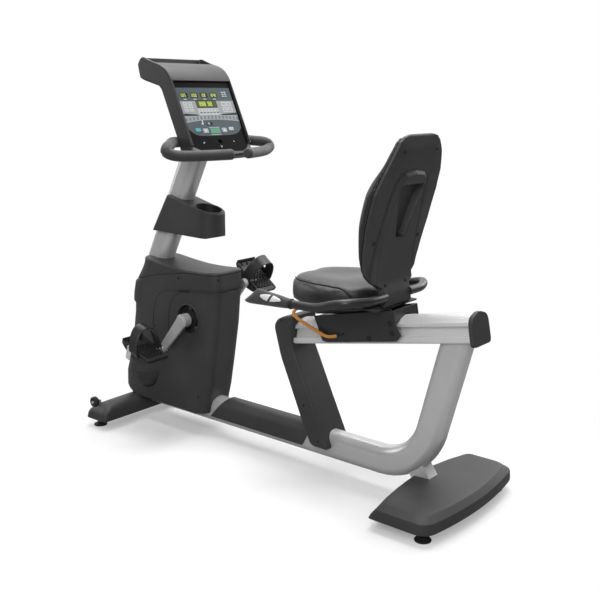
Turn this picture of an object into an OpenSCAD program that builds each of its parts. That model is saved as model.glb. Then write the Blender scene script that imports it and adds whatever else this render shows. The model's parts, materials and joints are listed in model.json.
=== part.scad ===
// Recumbent exercise bike with a sliding seat, a generator drive and a console on a leaning mast.
// X runs rearwards, from the console to the backrest, Y to the rider's right, Z up.
// The origin is on the floor, under the middle of the machine. All sizes are in millimetres.

/* [Frame tube] */
// Height of the frame tube's section, in the frame's plane
tube_h = 104; // [98:1:108]
// Width of the frame tube's section, across the bike
tube_w = 78; // [74:1:80]
// Radius of the frame tube's corners
tube_r = 34; // [28:1:36]
// Wall of the frame tubes
tube_wall = 3; // [2:0.5:4]
// Height of the base tube's axis above the floor
base_z = 109; // [107:1:112]
// Radius of the bend from the base tube to the rear post, on the axis
bend_radius = 200; // [190:5:210]
// Lean of the rear post, top rearwards, in degrees
post_lean = 14.6; // [13:0.2:16]
// Lean of the console mast, top rearwards, in degrees
mast_lean = 26.9; // [25:0.1:28]

/* [Seat rail] */
// Slope of the seat rail, up to the rear, in degrees
rail_tilt = 10.15; // [9:0.05:11]
// Length of the seat rail that shows behind the strut's head
rail_length = 718; // [700:1:730]
// Half of the rail's width over its flanges
rail_half = 52; // [50:1:54]
// Height of the rail's crown above its underside
rail_crown = 88; // [84:1:90]
// Wall of the rail's extrusion
rail_wall = 5; // [4:0.5:6]

/* [Drive] */
// Length of each crank arm, between its two axes
crank_length = 170; // [165:1:175]
// Angle of the left crank arm below the horizontal, pointing forwards, in degrees
crank_angle = 48.6; // [0:0.2:90]
// Radius of the large drive pulley
pulley_radius = 105; // [95:1:110]
// Radius of the generator's small pulley
pinion_radius = 22; // [20:1:24]
// Tilt of the left pedal, down to the rear, in degrees
left_pedal_tilt = 17; // [0:1:45]
// Tilt of the right pedal, down to the rear, in degrees
right_pedal_tilt = 38; // [0:1:45]

/* [Covers] */
// Wall of the plastic covers
cover_wall = 3; // [2:0.5:4]
// Half of the width of the drive shroud
shroud_half = 83; // [81:1:86]
// Half of the width of the strut's cover
strut_half = 66; // [62:1:67]

/* [Seat] */
// Half of the width of the seat cushion
cushion_half = 186; // [176:1:192]
// Half of the width of the backrest
back_half = 182; // [174:1:188]
// Radius of the seat's handle bar
seat_bar_r = 13; // [11:0.5:14]

/* [Console] */
// Half of the width of the console
console_half = 156; // [150:1:160]
// Lean of the console's face from the vertical, in degrees
face_lean = 23.8; // [22:0.2:26]
// Radius of the grips on the console's handlebar
bar_grip_r = 19.5; // [18:0.5:20]

/* [Hidden] */
$fn = 48;
lining = 0.3;          // gap between a cover and the piece it hugs
run_gap = 0.05;        // radial gap of a running fit
far = 3000;            // longer than the whole machine

// Frame stations
crossbar_x = -775;                    // axis of the front crossbar
crossbar_half = 262;                  // half length of both crossbars
crossbar_w = 60;
crossbar_h = 30;
crossbar_z = 44;                      // underside of both crossbars
base_front = crossbar_x + crossbar_w / 2;
bend_x = 447;                         // start of the bend, on the base tube
bend_z = base_z + bend_radius;
bend_sweep = 90 - post_lean;
weld_rise = 0.1;                      // step between a straight tube and a bend at their weld
post_foot = [bend_x + bend_radius * cos(post_lean), bend_z - bend_radius * sin(post_lean)];
rear_bar_x = 748;                     // axis of the rear crossbar
foot_stem_r = 5;
front_foot = [-790, 241];             // place of each front foot, along and across
rear_foot = [757, 233];
wheel_r = 22;
wheel_at = [-808, 252, 97];           // right transport wheel's centre
mast_foot_x = -672;                   // axis of the mast's upright foot
mast_bend_r = 200;                    // radius of the mast's bend, on the axis
mast_top = [-437, 1110];              // end of the mast, on the axis
mast_knee_z = mast_top[1] - (mast_top[0] - mast_foot_x) / tan(mast_lean);
mast_tangent = mast_bend_r * tan(mast_lean / 2);
rail_foot = [89, 464];                // front of the visible rail, at its underside
rail_side = 66;                       // height of the rail's side edge
rail_crown_r = (50 * 50 + (rail_crown - rail_side) * (rail_crown - rail_side)) / (2 * (rail_crown - rail_side));
rail_hidden = 60;                     // length of rail inside the strut's head

// Drive stations
crank_axis = [-415, 478];
rotor_axis = [-485, 262];
rotor_r = 78;
axle_r = 12;
belt_y = 53;                          // middle of the belt, to the rider's right
belt_w = 16;
plate_y = 34;                         // middle of the drive frame's side plates
arm_y = 114;                          // middle of each crank arm
spindle_r = 7;
pedal_y = 198;                        // middle of each pedal
arm_step = crank_length * [cos(crank_angle), sin(crank_angle)];
left_pedal_axis = crank_axis - arm_step;
right_pedal_axis = crank_axis + arm_step;

// Seat stations, along the rail and above its underside
plate_mid_y = 68.5;                   // middle of the carriage's side plates
roller_n = 38.5;
roller_r = 16;
roller_s = [172, 445];
lever_pivot = [244, 36.5];
shoe_s = 244;
lever_r = 5.5;

// Console stations
face_top = [-399, 1376];              // top edge of the face
face_turn = 90 - face_lean;

// ---- Helpers ----

// Rounded rectangle, centred on the origin
module rounded_rect(w, h, r) {
    square([w, h - 2 * r], center = true);
    square([w - 2 * r, h], center = true);
    for (x = [-1, 1], y = [-1, 1]) translate([x * (w / 2 - r), y * (h / 2 - r)]) circle(r);
}

// Frame tube's section: x runs across the bike, y in the frame's plane
module tube_section(grow = 0) {
    rounded_rect(tube_w + 2 * grow, tube_h + 2 * grow, tube_r + grow);
}

// Wall of the frame tube's section
module tube_ring() {
    difference() {
        tube_section();
        tube_section(-tube_wall);
    }
}

// Side-view outline, extruded across the bike between two values of Y
module slab(y0, y1) {
    translate([0, y1, 0]) rotate([90, 0, 0]) linear_extrude(y1 - y0) children();
}

// Side-view place turned to lie in space
module at_xz(p) {
    translate([p[0], 0, p[1]]) children();
}

// Cylinder across the bike about a side-view point
module pin_y(p, r, y0, y1) {
    translate([p[0], y1, p[1]]) rotate([90, 0, 0]) cylinder(r = r, h = y1 - y0);
}

// Children and their mirror image on the other side of the bike
module both_sides() {
    children();
    mirror([0, 1, 0]) children();
}

// Rail's own frame: x along the rail, z square to its underside
module on_rail() {
    at_xz(rail_foot) rotate([0, -rail_tilt, 0]) children();
}

// Mast's own frame: z along the leaning part, from its top downwards in negative z
module on_mast() {
    at_xz(mast_top) rotate([0, mast_lean, 0]) children();
}

// Console face's own frame: x down the face, y across, z out towards the rider
module on_face() {
    at_xz(face_top) rotate([0, face_turn, 0]) children();
}

// Point of a smooth curve between b and c, with neighbours a and d
function blend(a, b, c, d, t) = 0.5 * (2 * b + (c - a) * t + (2 * a - 5 * b + 4 * c - d) * t * t
    + (3 * b - a - 3 * c + d) * t * t * t);

// Smooth curve through the knots, with n steps in each span
function smooth(knots, n = 4) = [
    for (i = [0 : len(knots) - 2], j = [0 : n - 1])
        blend(knots[max(i - 1, 0)], knots[i], knots[i + 1], knots[min(i + 2, len(knots) - 1)], j / n),
    knots[len(knots) - 1]];

// Reversed copy of a list
function reversed(p) = [for (i = [len(p) - 1 : -1 : 0]) p[i]];

// Unit vector
function unit(v) = v / norm(v);

// Outline moved inwards by d, for points listed anticlockwise
function inset(p, d) = [
    for (i = [0 : len(p) - 1])
        let (a = unit(p[i] - p[(i + len(p) - 1) % len(p)]), b = unit(p[(i + 1) % len(p)] - p[i]),
             m = unit([-a[1] - b[1], a[0] + b[0]]))
            p[i] + m * d / max(0.5, sqrt((1 + a * b) / 2))];

// Round bar along a path, with rounded ends, as rings of points joined side by side
module bar(path, r, sides = 16) {
    last = len(path) - 1;
    heading = [for (i = [0 : last]) unit(path[min(i + 1, last)] - path[max(i - 1, 0)])];
    // Each end closes in two smaller rings, so the bar's end is round
    rings = concat(
        [[path[0] - heading[0] * r * 0.45, heading[0], 0.45 * r], [path[0] - heading[0] * r * 0.25, heading[0], 0.8 * r]],
        [for (i = [0 : last]) [path[i], heading[i], r]],
        [[path[last] + heading[last] * r * 0.25, heading[last], 0.8 * r],
         [path[last] + heading[last] * r * 0.45, heading[last], 0.45 * r]]);
    points = [for (g = rings, k = [0 : sides - 1])
        let (u = unit(cross(g[1], [0.31, 0.17, 0.94])), v = cross(g[1], u), t = 360 * k / sides)
            g[0] + g[2] * (cos(t) * u + sin(t) * v)];
    faces = concat(
        [[for (k = [0 : sides - 1]) k]],
        [for (i = [0 : len(rings) - 2], k = [0 : sides - 1])
            [i * sides + k, (i + 1) * sides + k, (i + 1) * sides + (k + 1) % sides, i * sides + (k + 1) % sides]],
        [[for (k = [sides - 1 : -1 : 0]) (len(rings) - 1) * sides + k]]);
    polyhedron(points, faces, convexity = 6);
}

// Side-view place of a point s along the rail and n above its underside
function rail_xz(s, n) = rail_foot + [s * cos(rail_tilt) - n * sin(rail_tilt), s * sin(rail_tilt) + n * cos(rail_tilt)];

// ---- Frame ----

module tube_along_x(x0, x1, grow = 0) {
    translate([x0, 0, base_z]) rotate([90, 0, 90]) linear_extrude(x1 - x0) tube_section(grow);
}

module base_tube() {
    color("silver") translate([base_front, 0, base_z]) rotate([90, 0, 90])
        linear_extrude(bend_x - base_front) tube_ring();
}

module post_bend(grow = 0) {
    translate([bend_x, 0, bend_z]) rotate([90, 0, 0]) rotate([0, 0, -90])
        rotate_extrude(angle = bend_sweep) translate([bend_radius, 0]) rotate(90) children();
}

// Straight tube that starts where a bend ends; its skin is one weld bead's depth proud of the bend
module straight_tube(length, bore_step = 0) {
    difference() {
        linear_extrude(length) tube_section(weld_rise);
        translate([0, 0, -1]) linear_extrude(length + 2) tube_section(-tube_wall - bore_step);
    }
}

module rear_post() {
    color("silver") {
        post_bend() tube_ring();
        difference() {
            at_xz(post_foot) rotate([0, post_lean, 0]) rotate(90) straight_tube(400, weld_rise);
            on_rail() translate([-far / 2, -far / 2, 0]) cube(far);
        }
    }
}

mast_run = (mast_top[1] - mast_knee_z) / cos(mast_lean) - mast_tangent;
mast_knee = mast_knee_z - mast_tangent;

module mast_leaning(start = 0) {
    on_mast() translate([0, 0, -mast_run + start]) rotate(90) linear_extrude(mast_run - start) children();
}

module mast_bend() {
    translate([mast_foot_x + mast_bend_r, 0, mast_knee]) rotate([90, 0, 0]) rotate([0, 0, 180 - mast_lean])
        rotate_extrude(angle = mast_lean) translate([mast_bend_r, 0]) rotate(90) children();
}

module mast() {
    color("silver") {
        mast_bend() tube_ring();
        on_mast() translate([0, 0, -mast_run]) rotate(90) straight_tube(mast_run);
        difference() {
            translate([mast_foot_x, 0, base_z]) rotate(90) straight_tube(mast_knee - base_z);
            tube_along_x(base_front - 1, 0);
        }
        // Console bracket: two side plates from the mast's top to the back of the console
        both_sides() slab(30, 36) difference() {
            polygon([[-472, 1096], [-400, 1086], [-336, 1096], [-365, 1170], [-410, 1186], [-448, 1150]]);
            polygon(console_profile);
            translate(mast_top) rotate(-mast_lean) translate([-60, -200]) square([120, 199.9]);
        }
    }
}

// Rectangular crossbar with its feet's holes
module crossbar(x, foot_y, foot_x) {
    difference() {
        translate([x - crossbar_w / 2, -crossbar_half, crossbar_z]) cube([crossbar_w, 2 * crossbar_half, crossbar_h]);
        translate([x - crossbar_w / 2 + 3, -crossbar_half - 1, crossbar_z + 3])
            cube([crossbar_w - 6, 2 * crossbar_half + 2, crossbar_h - 6]);
        for (y = [-foot_y, foot_y]) translate([foot_x, y, crossbar_z - 1]) cylinder(r = foot_stem_r + run_gap, h = 6);
    }
}
module front_crossbar() {
    color("silver") {
        crossbar(crossbar_x, front_foot[1], front_foot[0]);
        both_sides() {
            translate([-820, wheel_at[1] - 17, crossbar_z + crossbar_h]) cube([34, 6, 34]);
            translate(wheel_at - [0, 12, 0]) rotate([-90, 0, 0]) cylinder(r = 5, h = 24);
        }
    }
}

module rear_crossbar() {
    color("silver") crossbar(rear_bar_x, rear_foot[1], rear_foot[0]);
}

stub_half = 26;
stub_outline = [[568, 104], [588, 74], [640, 60], [rear_bar_x - crossbar_w / 2, 50], [rear_bar_x - crossbar_w / 2, 72],
    [672, 80], [650, 98], [618, 144], [600, 160]];

module rear_stub() {
    color("silver") difference() {
        slab(-stub_half, stub_half) polygon(stub_outline);
        slab(-stub_half + 4, stub_half - 4) polygon(inset(stub_outline, 4));
        post_bend() tube_section();
    }
}

// Stabiliser plan as a closed outline: front edge and rear edge bowed between the two ends
function bow(x_mid, x_end, half, n = 12) = [
    for (i = [0 : n]) let (t = 2 * i / n - 1) [x_mid + (x_end - x_mid) * t * t, t * half]];
function stabiliser_plan(front_mid, front_end, rear_mid, rear_end, half) = concat(
    bow(rear_mid, rear_end, half), reversed(bow(front_mid, front_end, half)));

// Stabiliser cover: open underneath, with a bevelled and slightly crowned top
module stabiliser_shell(plan, low, shoulder, top) {
    difference() {
        hull() {
            translate([0, 0, low]) linear_extrude(shoulder - low) polygon(plan);
            translate([0, 0, low]) linear_extrude(shoulder + 7 - low) polygon(inset(plan, 6));
            translate([0, 0, low]) linear_extrude(top - low) polygon(inset(plan, 30));
        }
        hull() {
            translate([0, 0, low - 1]) linear_extrude(shoulder - low) polygon(inset(plan, cover_wall));
            translate([0, 0, low - 1]) linear_extrude(top - cover_wall + 1 - low) polygon(inset(plan, 34));
        }
    }
}

front_plan = stabiliser_plan(-830, -826, -705, -707, 285);
rear_plan = stabiliser_plan(568, 600, 830, 800, 287);

module front_stabiliser_cover() {
    color("#3c3c3d") difference() {
        stabiliser_shell(front_plan, 38, 84, 100);
        tube_along_x(base_front - 1, -600, lining);
        both_sides() translate([-900, wheel_at[1] - 19, 46]) cube([900 + wheel_at[0] + wheel_r + 4, 32, 100]);
        mast_well();
    }
}

module mast_well() {
    translate([mast_foot_x, 0, base_z]) linear_extrude(400) rotate(90) tube_section(lining);
}

module rear_stabiliser_cover() {
    color("#3c3c3d") difference() {
        stabiliser_shell(rear_plan, 40, 84, 98);
        slab(-stub_half - lining, stub_half + lining) polygon(inset(stub_outline, -lining));
        post_bend() tube_section(lining);
    }
}

// ---- Strut and covers ----

strut_foot = [191.6, base_z + tube_h / 2];
strut_head = [49, 478];
strut_turn = atan2(strut_head[0] - strut_foot[0], strut_head[1] - strut_foot[1]);
strut_outline = [[180, 104], [269, 103], [253, 117], [96, 459], [89, 464], [106, 573], [59, 564], [22, 545],
    [10, 519], [40, 412], [138, 189]];

module strut_body(grow = 0) {
    at_xz(strut_foot) rotate([0, strut_turn, 0]) translate([0, 0, -60])
        linear_extrude(norm(strut_head - strut_foot) + 60) square([46 + 2 * grow, 60 + 2 * grow], center = true);
}

module strut_post() {
    color("silver") difference() {
        strut_body();
        at_xz(strut_foot) rotate([0, strut_turn, 0]) translate([0, 0, -61])
            linear_extrude(500) square([40, 54], center = true);
        tube_along_x(0, 400);
        on_rail() translate([-200, -100, 0]) cube([400, 200, 200]);
    }
}

module rail_section() {
    translate([-rail_half, 4]) square([2 * rail_half, 18]);
    translate([-rail_half + 5, 0]) square([2 * rail_half - 10, 22]);
    translate([-36, 0]) square([72, 60]);
    intersection() {
        translate([0, rail_crown - rail_crown_r]) circle(rail_crown_r, $fn = 96);
        translate([-50, 55]) square([100, 60]);
    }
}

module rail_blank(s0, s1, grow = 0) {
    on_rail() translate([s0, 0, 0]) rotate([90, 0, 90]) linear_extrude(s1 - s0) children();
}

module seat_rail() {
    color("gainsboro") rail_blank(-rail_hidden, rail_length) difference() {
        rail_section();
        translate([0, 35]) rounded_rect(72 - 2 * rail_wall, 60, 4);
        translate([0, 35 + 18]) rounded_rect(44, 50, 4);
    }
}

module strut_cover() {
    color("#38383a") difference() {
        slab(-strut_half, strut_half) polygon(strut_outline);
        slab(-strut_half + cover_wall, strut_half - cover_wall) polygon(inset(strut_outline, cover_wall));
        rail_blank(-rail_hidden, 300) translate([-54, -2]) square([108, 92]);
        tube_along_x(0, 500, lining);
        strut_body(lining);
    }
}

module base_cover() {
    color("#38383a") difference() {
        intersection() {
            tube_along_x(-345, 168, 7);
            slab(-60, 60) polygon([[-345, 86], [124, 86], [168, 172], [120, 190], [-250, 190], [-339, 92]]);
        }
        tube_along_x(-400, 300, lining);
        strut_cover_block();
    }
}

module strut_cover_block() {
    slab(-strut_half - 1, strut_half + 1) polygon(inset(strut_outline, -1));
}

module rail_end_cap() {
    color("#2c2c2e") rail_blank(rail_length, rail_length + 12) {
        translate([-54, -3]) square([108, 70]);
        intersection() {
            translate([0, rail_crown - rail_crown_r + 3]) circle(rail_crown_r, $fn = 96);
            translate([-54, 55]) square([108, 60]);
        }
    }
}

// ---- Shroud ----

cap_line = [[-900, 592], [0, 612]];   // seam between the shells and the cap
waist_z = 360;                        // level that splits the shroud's solid in two
// Front line of the shroud from bottom to top, at the middle of its nose
shroud_front_low = [[-806, 98], [-829, 126], [-826, 193], [-778, waist_z]];
shroud_front_high = [[-778, waist_z], [-770, 510], [-746, 597], [-711, 676], [-700, 692]];
// Rear line of the shroud from bottom to top
shroud_rear_low = [[-352, 98], [-342, 121], [-320, 199], [-290, waist_z]];
shroud_rear_high = [[-290, waist_z], [-270, 500], [-256, 640], [-268, 676]];

// Side outline of one part of the shroud, its front, rear and top drawn in by the given amounts
function shroud_part(front, rear, pull, wall) = concat(
    [for (p = rear) [p[0] - pull[1] - wall, min(p[1], 694 - pull[2] - wall)]],
    reversed([for (p = front) [p[0] + pull[0] + wall, min(p[1], 694 - pull[2] - wall)]]));

// One part of the shroud, its corners rounded in three steps
module shroud_lump(front, rear, wall) {
    hull() {
        slab(-42 + wall, 42 - wall) polygon(shroud_part(front, rear, [0, 0, 0], wall));
        slab(-70 + wall, 70 - wall) polygon(shroud_part(front, rear, [24, 14, 5], wall));
        slab(-shroud_half + wall, shroud_half - wall) polygon(shroud_part(front, rear, [62, 46, 16], wall));
    }
}

module shroud_solid(wall) {
    shroud_lump(shroud_front_low, shroud_rear_low, wall);
    shroud_lump(shroud_front_high, shroud_rear_high, wall);
}

// Everything below the cap's seam
module below_cap() {
    slab(-far / 4, far / 4) polygon([cap_line[0], cap_line[1], [0, -100], [-900, -100]]);
}

module shroud_shell() {
    difference() {
        shroud_solid(0);
        shroud_solid(cover_wall);
        translate([-735, -80, 0]) cube([410, 160, 112]);
        tube_along_x(base_front - 100, 0, 1);
        pin_y(crank_axis, 59, -100, 100);
        stabiliser_block();
    }
}

module stabiliser_block() {
    translate([-900, -300, 0]) cube([200, 600, 101]);
}

module shroud_half_shell(y0, y1) {
    color("#38383a") intersection() {
        shroud_shell();
        below_cap();
        translate([-far / 2, y0, 0]) cube([far, y1 - y0, far]);
    }
}

module shroud_left() {
    shroud_half_shell(-100, 0);
}

module shroud_right() {
    shroud_half_shell(0, 100);
}

module shroud_cap() {
    color("#454547") difference() {
        shroud_solid(0);
        shroud_solid(cover_wall);
        below_cap();
        mast_leaning() tube_section(1.5);
        mast_bend() tube_section(1.5);
        translate([mast_foot_x, 0, base_z]) rotate(90) linear_extrude(mast_knee - base_z) tube_section(1.5);
    }
}

// Screw with its head outside a side cover, towards the rider's right
module side_screw(x, y, z) {
    translate([x, y, z]) rotate([-90, 0, 0]) cylinder(r = 4, h = 1.5, $fn = 24);
}

module cover_screws() {
    color("#1c1c1c") {
        both_sides() {
            side_screw(-465, shroud_half, 634);
            side_screw(-612, shroud_half, 420);
            side_screw(-372, shroud_half, 170);
            side_screw(46, strut_half, 548);
            side_screw(150, strut_half, 250);
            side_screw(215, strut_half, 130);
        }
    }
}

module cup_holder() {
    cup_at = [-372, 0];
    color("#38383a") difference() {
        intersection() {
            slab(-60, 60) polygon([[-639, 805], [-342, 797], [-308, 804], [-300, 888], [-544, 953]]);
            union() {
                translate([-700, -59, 700]) cube([332, 118, 300]);
                translate([-368, 0, 700]) cylinder(r = 59, h = 300);
            }
        }
        translate([cup_at[0], cup_at[1], 818]) cylinder(r = 46, h = 200);
        mast_leaning() tube_section(lining);
        slab(-52, 52) polygon([[-600, 790], [-450, 790], [-450, 860], [-560, 890]]);
    }
}

// ---- Console ----

console_profile = [[-571, 1439], [-560, 1390], [-539, 1381], [-458, 1360], [-446, 1348], [-369, 1174],
    [-345, 1108], [-332, 1097], [-262, 1097], [-236, 1112], [-240, 1122], [-286, 1147], [-389, 1376],
    [-404, 1402], [-428, 1424], [-466, 1440], [-500, 1448], [-537, 1463]];

// Plan of what the handlebar's inner ends leave free in front of the lower lip
lip_cut = [[-232, -1], [-236, 30], [-247, 70], [-259, 118], [-276, 160], [-100, 160], [-100, -1]];

module console_housing() {
    color("#3c3c3e") difference() {
        slab(-console_half, console_half) polygon(console_profile);
        slab(-console_half + 10, console_half - 10)
            polygon([[-480, 1500], [-478, 1410], [-545, 1405], [-556, 1500]]);
        on_face() translate([-1, -console_half + 8, -12]) cube([292, 2 * console_half - 16, 60]);
        on_face() translate([30, -132, -42]) cube([178, 264, 60]);
        intersection() {
            slab(-console_half + 5, console_half - 5) polygon(inset(console_profile, 5));
            on_face() translate([-200, -200, -400]) cube([700, 400, 385]);
            translate([-far / 2, -far / 2, 0]) cube([far, far, 1365]);
        }
        both_sides() translate([0, 0, 1080]) linear_extrude(80) polygon(lip_cut);
    }
}

function face_outline(half, depth, corner) = concat(
    [[0, -half], [0, half]],
    [for (i = [0 : 12]) let (t = 1 - 2 * i / 12, c = sign(t) * pow(abs(t), 0.6))
        [depth - corner * pow(abs(t), 2.4), c * half]]);

module console_bezel() {
    color("#151516") on_face() difference() {
        translate([0, 0, -11]) linear_extrude(11) polygon(face_outline(console_half - 8.3, 288, 44));
        translate([23, -139, -12]) cube([158, 278, 20]);
        translate([181, -139, -12]) cube([34, 278, 20]);
        translate([228, -10, -6]) cube([14, 20, 10]);
    }
}

module console_glass() {
    color("#223030") on_face() difference() {
        translate([23.2, -138.8, -7]) cube([191.6, 277.6, 5]);
        for (k = key_places) translate([k[0], k[1], -20]) linear_extrude(40) rounded_rect(k[2] + 1, k[3] + 1, 3);
    }
}

// Keys on the face: distance down, distance across, size down and size across
key_places = [[194, -7, 22, 50], [192, -55, 18, 26], [192, 42, 18, 26], [188, -92, 14, 26], [188, 80, 14, 26]];

module console_display() {
    color("#5c6a70") on_face() translate([24, -138, -12]) cube([190, 276, 4.8]);
}

module key(i, tint) {
    k = key_places[i];
    color(tint) on_face() translate([k[0], k[1], -5.9]) linear_extrude(5.5) rounded_rect(k[2], k[3], 3);
}

bar_knots = [[-205, 46, 1119], [-234, 118, 1118], [-262, 188, 1118], [-285, 240, 1121], [-298, 272, 1133],
    [-311, 258, 1148], [-342, 214, 1155], [-385, 163, 1160], [-400, 100, 1160]];

module handlebar_cores() {
    both_sides() bar([[-388, 130, 1159], [-398, 100, 1160], [-404, 60, 1160], [-406, 20, 1160]], 13);
}

module handlebar() {
    color("#2c2c2e") {
        difference() {
            handlebar_cores();
            slab(-36, 36) square(far, center = true);
        }
    }
}

module handlebar_grips() {
    color("#3a3a3c") difference() {
        both_sides() bar(smooth(bar_knots, 3), bar_grip_r);
        handlebar_cores();
    }
}

// ---- Drive ----

module drive_frame() {
    color("dimgray") difference() {
        union() {
            both_sides() slab(plate_y - 2, plate_y + 2) polygon([[-455, 120], [-360, 120], [-375, 478],
                [-390, 505], [-430, 510], [-452, 490], [-520, 290], [-520, 120]]);
            pin_y(crank_axis, 26, -40, 40);
        }
        pin_y(crank_axis, 22, -50, 50);
        pin_y(rotor_axis, 10 + run_gap, -50, 50);
        tube_along_x(-600, 0);
    }
}

module crank_bearings() {
    color("gainsboro") for (y = [-40, 26]) difference() {
        pin_y(crank_axis, 22, y, y + 14);
        pin_y(crank_axis, axle_r + run_gap, y - 1, y + 15);
    }
}

// Open belt round two pulleys, as a side-view outline
module belt_loop(r_big, r_small) {
    gap = crank_axis - rotor_axis;
    lean = atan2(gap[1], gap[0]);
    wrap = acos((r_big - r_small) / norm(gap));
    translate(crank_axis) circle(r_big, $fn = 96);
    translate(rotor_axis) circle(r_small, $fn = 96);
    polygon([for (c = [[crank_axis, r_big, 180 - wrap], [rotor_axis, r_small, 180 - wrap],
                       [rotor_axis, r_small, 180 + wrap], [crank_axis, r_big, 180 + wrap]])
        c[0] + c[1] * [cos(lean + c[2]), sin(lean + c[2])]]);
}

module drive_belt() {
    color("#202022") slab(belt_y - belt_w / 2, belt_y + belt_w / 2) difference() {
        belt_loop(pulley_radius + 3.3, pinion_radius + 3.3);
        belt_loop(pulley_radius + 0.3, pinion_radius + 0.3);
    }
}

module drive_pulley() {
    color("dimgray") difference() {
        pin_y(crank_axis, pulley_radius, belt_y - 10, belt_y + 10);
        pin_y(crank_axis, axle_r, 0, 100);
        for (i = [0 : 4]) pin_y(crank_axis + 62 * [cos(72 * i), sin(72 * i)], 22, 0, 100);
    }
}

module generator_rotor() {
    color("gray") {
        pin_y(rotor_axis, rotor_r, -26, 26);
        pin_y(rotor_axis, 10, -44, 66);
        pin_y(rotor_axis, pinion_radius, belt_y - 10, belt_y + 10);
    }
}

module crank_axle() {
    color("silver") pin_y(crank_axis, axle_r, -arm_y + 8, arm_y - 8);
}

module crank_arm(pedal_axis) {
    run = unit(pedal_axis - crank_axis);
    side = [-run[1], run[0]];
    difference() {
        union() {
            slab(arm_y - 10, arm_y + 10) {
                translate(crank_axis) circle(21);
                translate(pedal_axis) circle(15);
                polygon([crank_axis + 21 * side, crank_axis - 21 * side, pedal_axis - 15 * side, pedal_axis + 15 * side]);
            }
            pin_y(crank_axis, 24, 88, arm_y + 8);
        }
        pin_y(crank_axis, axle_r, 0, arm_y - 8);
        pin_y(pedal_axis, spindle_r, 0, 300);
    }
}

module crank_arms() {
    color("silver") {
        crank_arm(right_pedal_axis);
        mirror([0, 1, 0]) crank_arm(left_pedal_axis);
    }
}

module pedal_spindles() {
    color("silver") {
        pin_y(right_pedal_axis, spindle_r, arm_y - 10, pedal_y + 40);
        pin_y(left_pedal_axis, spindle_r, -pedal_y - 40, -arm_y + 10);
    }
}

// Pedal body in its own frame: the spindle on Y, the tread upwards
module pedal_body() {
    difference() {
        slab(-54, 54) polygon(concat(
            smooth([[62, 2], [50, 5], [0, 3], [-60, 5], [-92, 16]], 4),
            smooth([[-96, 8], [-70, -8], [-40, -20], [0, -30], [35, -20], [58, -8]], 4)));
        pin_y([0, 0], spindle_r + run_gap, -60, 42);
    }
}

// Strap over the foot, in the pedal's frame
module pedal_strap() {
    n = 20;
    function arch(half, high) = [for (i = [0 : n]) let (a = 180 * i / n) [half * cos(a), high * sin(a)]];
    difference() {
        translate([-38, 0, 0]) rotate([90, 0, 90]) linear_extrude(60) {
            polygon(concat(arch(64, 96), reversed(arch(60, 92))));
            for (y = [-64, 54]) translate([y, -8]) square([10, 8.5]);
        }
        pin_y([0, 0], spindle_r + 2.5, -70, 70);
    }
}

module on_pedal(pedal_axis, y, tilt) {
    translate([pedal_axis[0], y, pedal_axis[1]]) rotate([0, tilt, 0]) children();
}

module pedal_left() {
    color("#2c2c2e") on_pedal(left_pedal_axis, -pedal_y, left_pedal_tilt) mirror([0, 1, 0]) pedal_body();
}

module pedal_strap_left() {
    color("#333335") on_pedal(left_pedal_axis, -pedal_y, left_pedal_tilt) pedal_strap();
}

module pedal_right() {
    color("#2c2c2e") on_pedal(right_pedal_axis, pedal_y, right_pedal_tilt) pedal_body();
}

module pedal_strap_right() {
    color("#333335") on_pedal(right_pedal_axis, pedal_y, right_pedal_tilt) pedal_strap();
}

// ---- Seat ----

plate_outline = [[153, 16], [174, 10], [458, 12], [477, 30], [461, 75], [457, 113], [131, 103]];

module carriage_plates() {
    color("#333335") {
        both_sides() difference() {
            on_rail() slab(plate_mid_y - 2.5, plate_mid_y + 2.5) polygon(plate_outline);
            on_rail() for (s = roller_s) pin_y([s, roller_n], 6, 0, 100);
            on_rail() pin_y(lever_pivot, 6 + run_gap, 0, 100);
        }
        on_rail() difference() {
            translate([140, -plate_mid_y + 2.5, 97]) cube([317, 2 * plate_mid_y - 5, 5]);
            translate([shoe_s, 0, 0]) cylinder(r = 11 + run_gap, h = 200);
        }
        on_rail() difference() {
            translate([457, -plate_mid_y - 2.5, 74]) cube([6, 2 * plate_mid_y + 5, 39]);
            translate([400, 0, rail_crown - rail_crown_r]) rotate([0, 90, 0]) cylinder(r = rail_crown_r + 5, h = 100);
        }
    }
}

module carriage_bolts() {
    color("#202022") on_rail() both_sides() {
        for (s = roller_s) {
            pin_y([s, roller_n], 6, 39, 71);
            pin_y([s, roller_n], 10, 71, 77);
        }
    }
}

module roller_pair(s) {
    color("#1c1c1e") on_rail() both_sides() difference() {
        pin_y([s, roller_n], roller_r, 40, 62);
        pin_y([s, roller_n], 6 + run_gap, 30, 80);
    }
}

module lock_shoe() {
    color("#202022") on_rail() translate([shoe_s, 0, 0]) difference() {
        union() {
            translate([0, 0, 80]) cylinder(r = 11, h = 34);
            translate([-30, -16, 80]) cube([60, 32, 12]);
        }
        translate([-50, 0, rail_crown - rail_crown_r]) rotate([0, 90, 0]) cylinder(r = rail_crown_r + lining, h = 100);
    }
}

lever_knots = [[306, 537], [268, 530], [220, 542], [153, 566], [124, 580], [122, 592]];

module adjust_lever() {
    arm = [for (k = concat([rail_xz(lever_pivot[0], lever_pivot[1])], lever_knots)) [k[0], 85, k[1]]];
    color("orange") {
        bar(concat(arm, [[122, 76, 602], [122, 0, 602], [122, -76, 602]],
            reversed([for (p = arm) [p[0], -p[1], p[2]]])), lever_r, 12);
        both_sides() on_rail() pin_y(lever_pivot, 6, 66, 84);
    }
}

module seat_frame() {
    color("#2c2c2e") {
        translate([150, -120, 653]) cube([342, 240, 6]);
        translate([150, -120, 659]) cube([270, 240, 5]);
        both_sides() difference() {
            slab(44, 49) polygon([[190, 653], [190, 590], [500, 640], [500, 653]]);
            on_rail() translate([0, -100, -100]) cube([600, 200, 202]);
        }
    }
}

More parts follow.
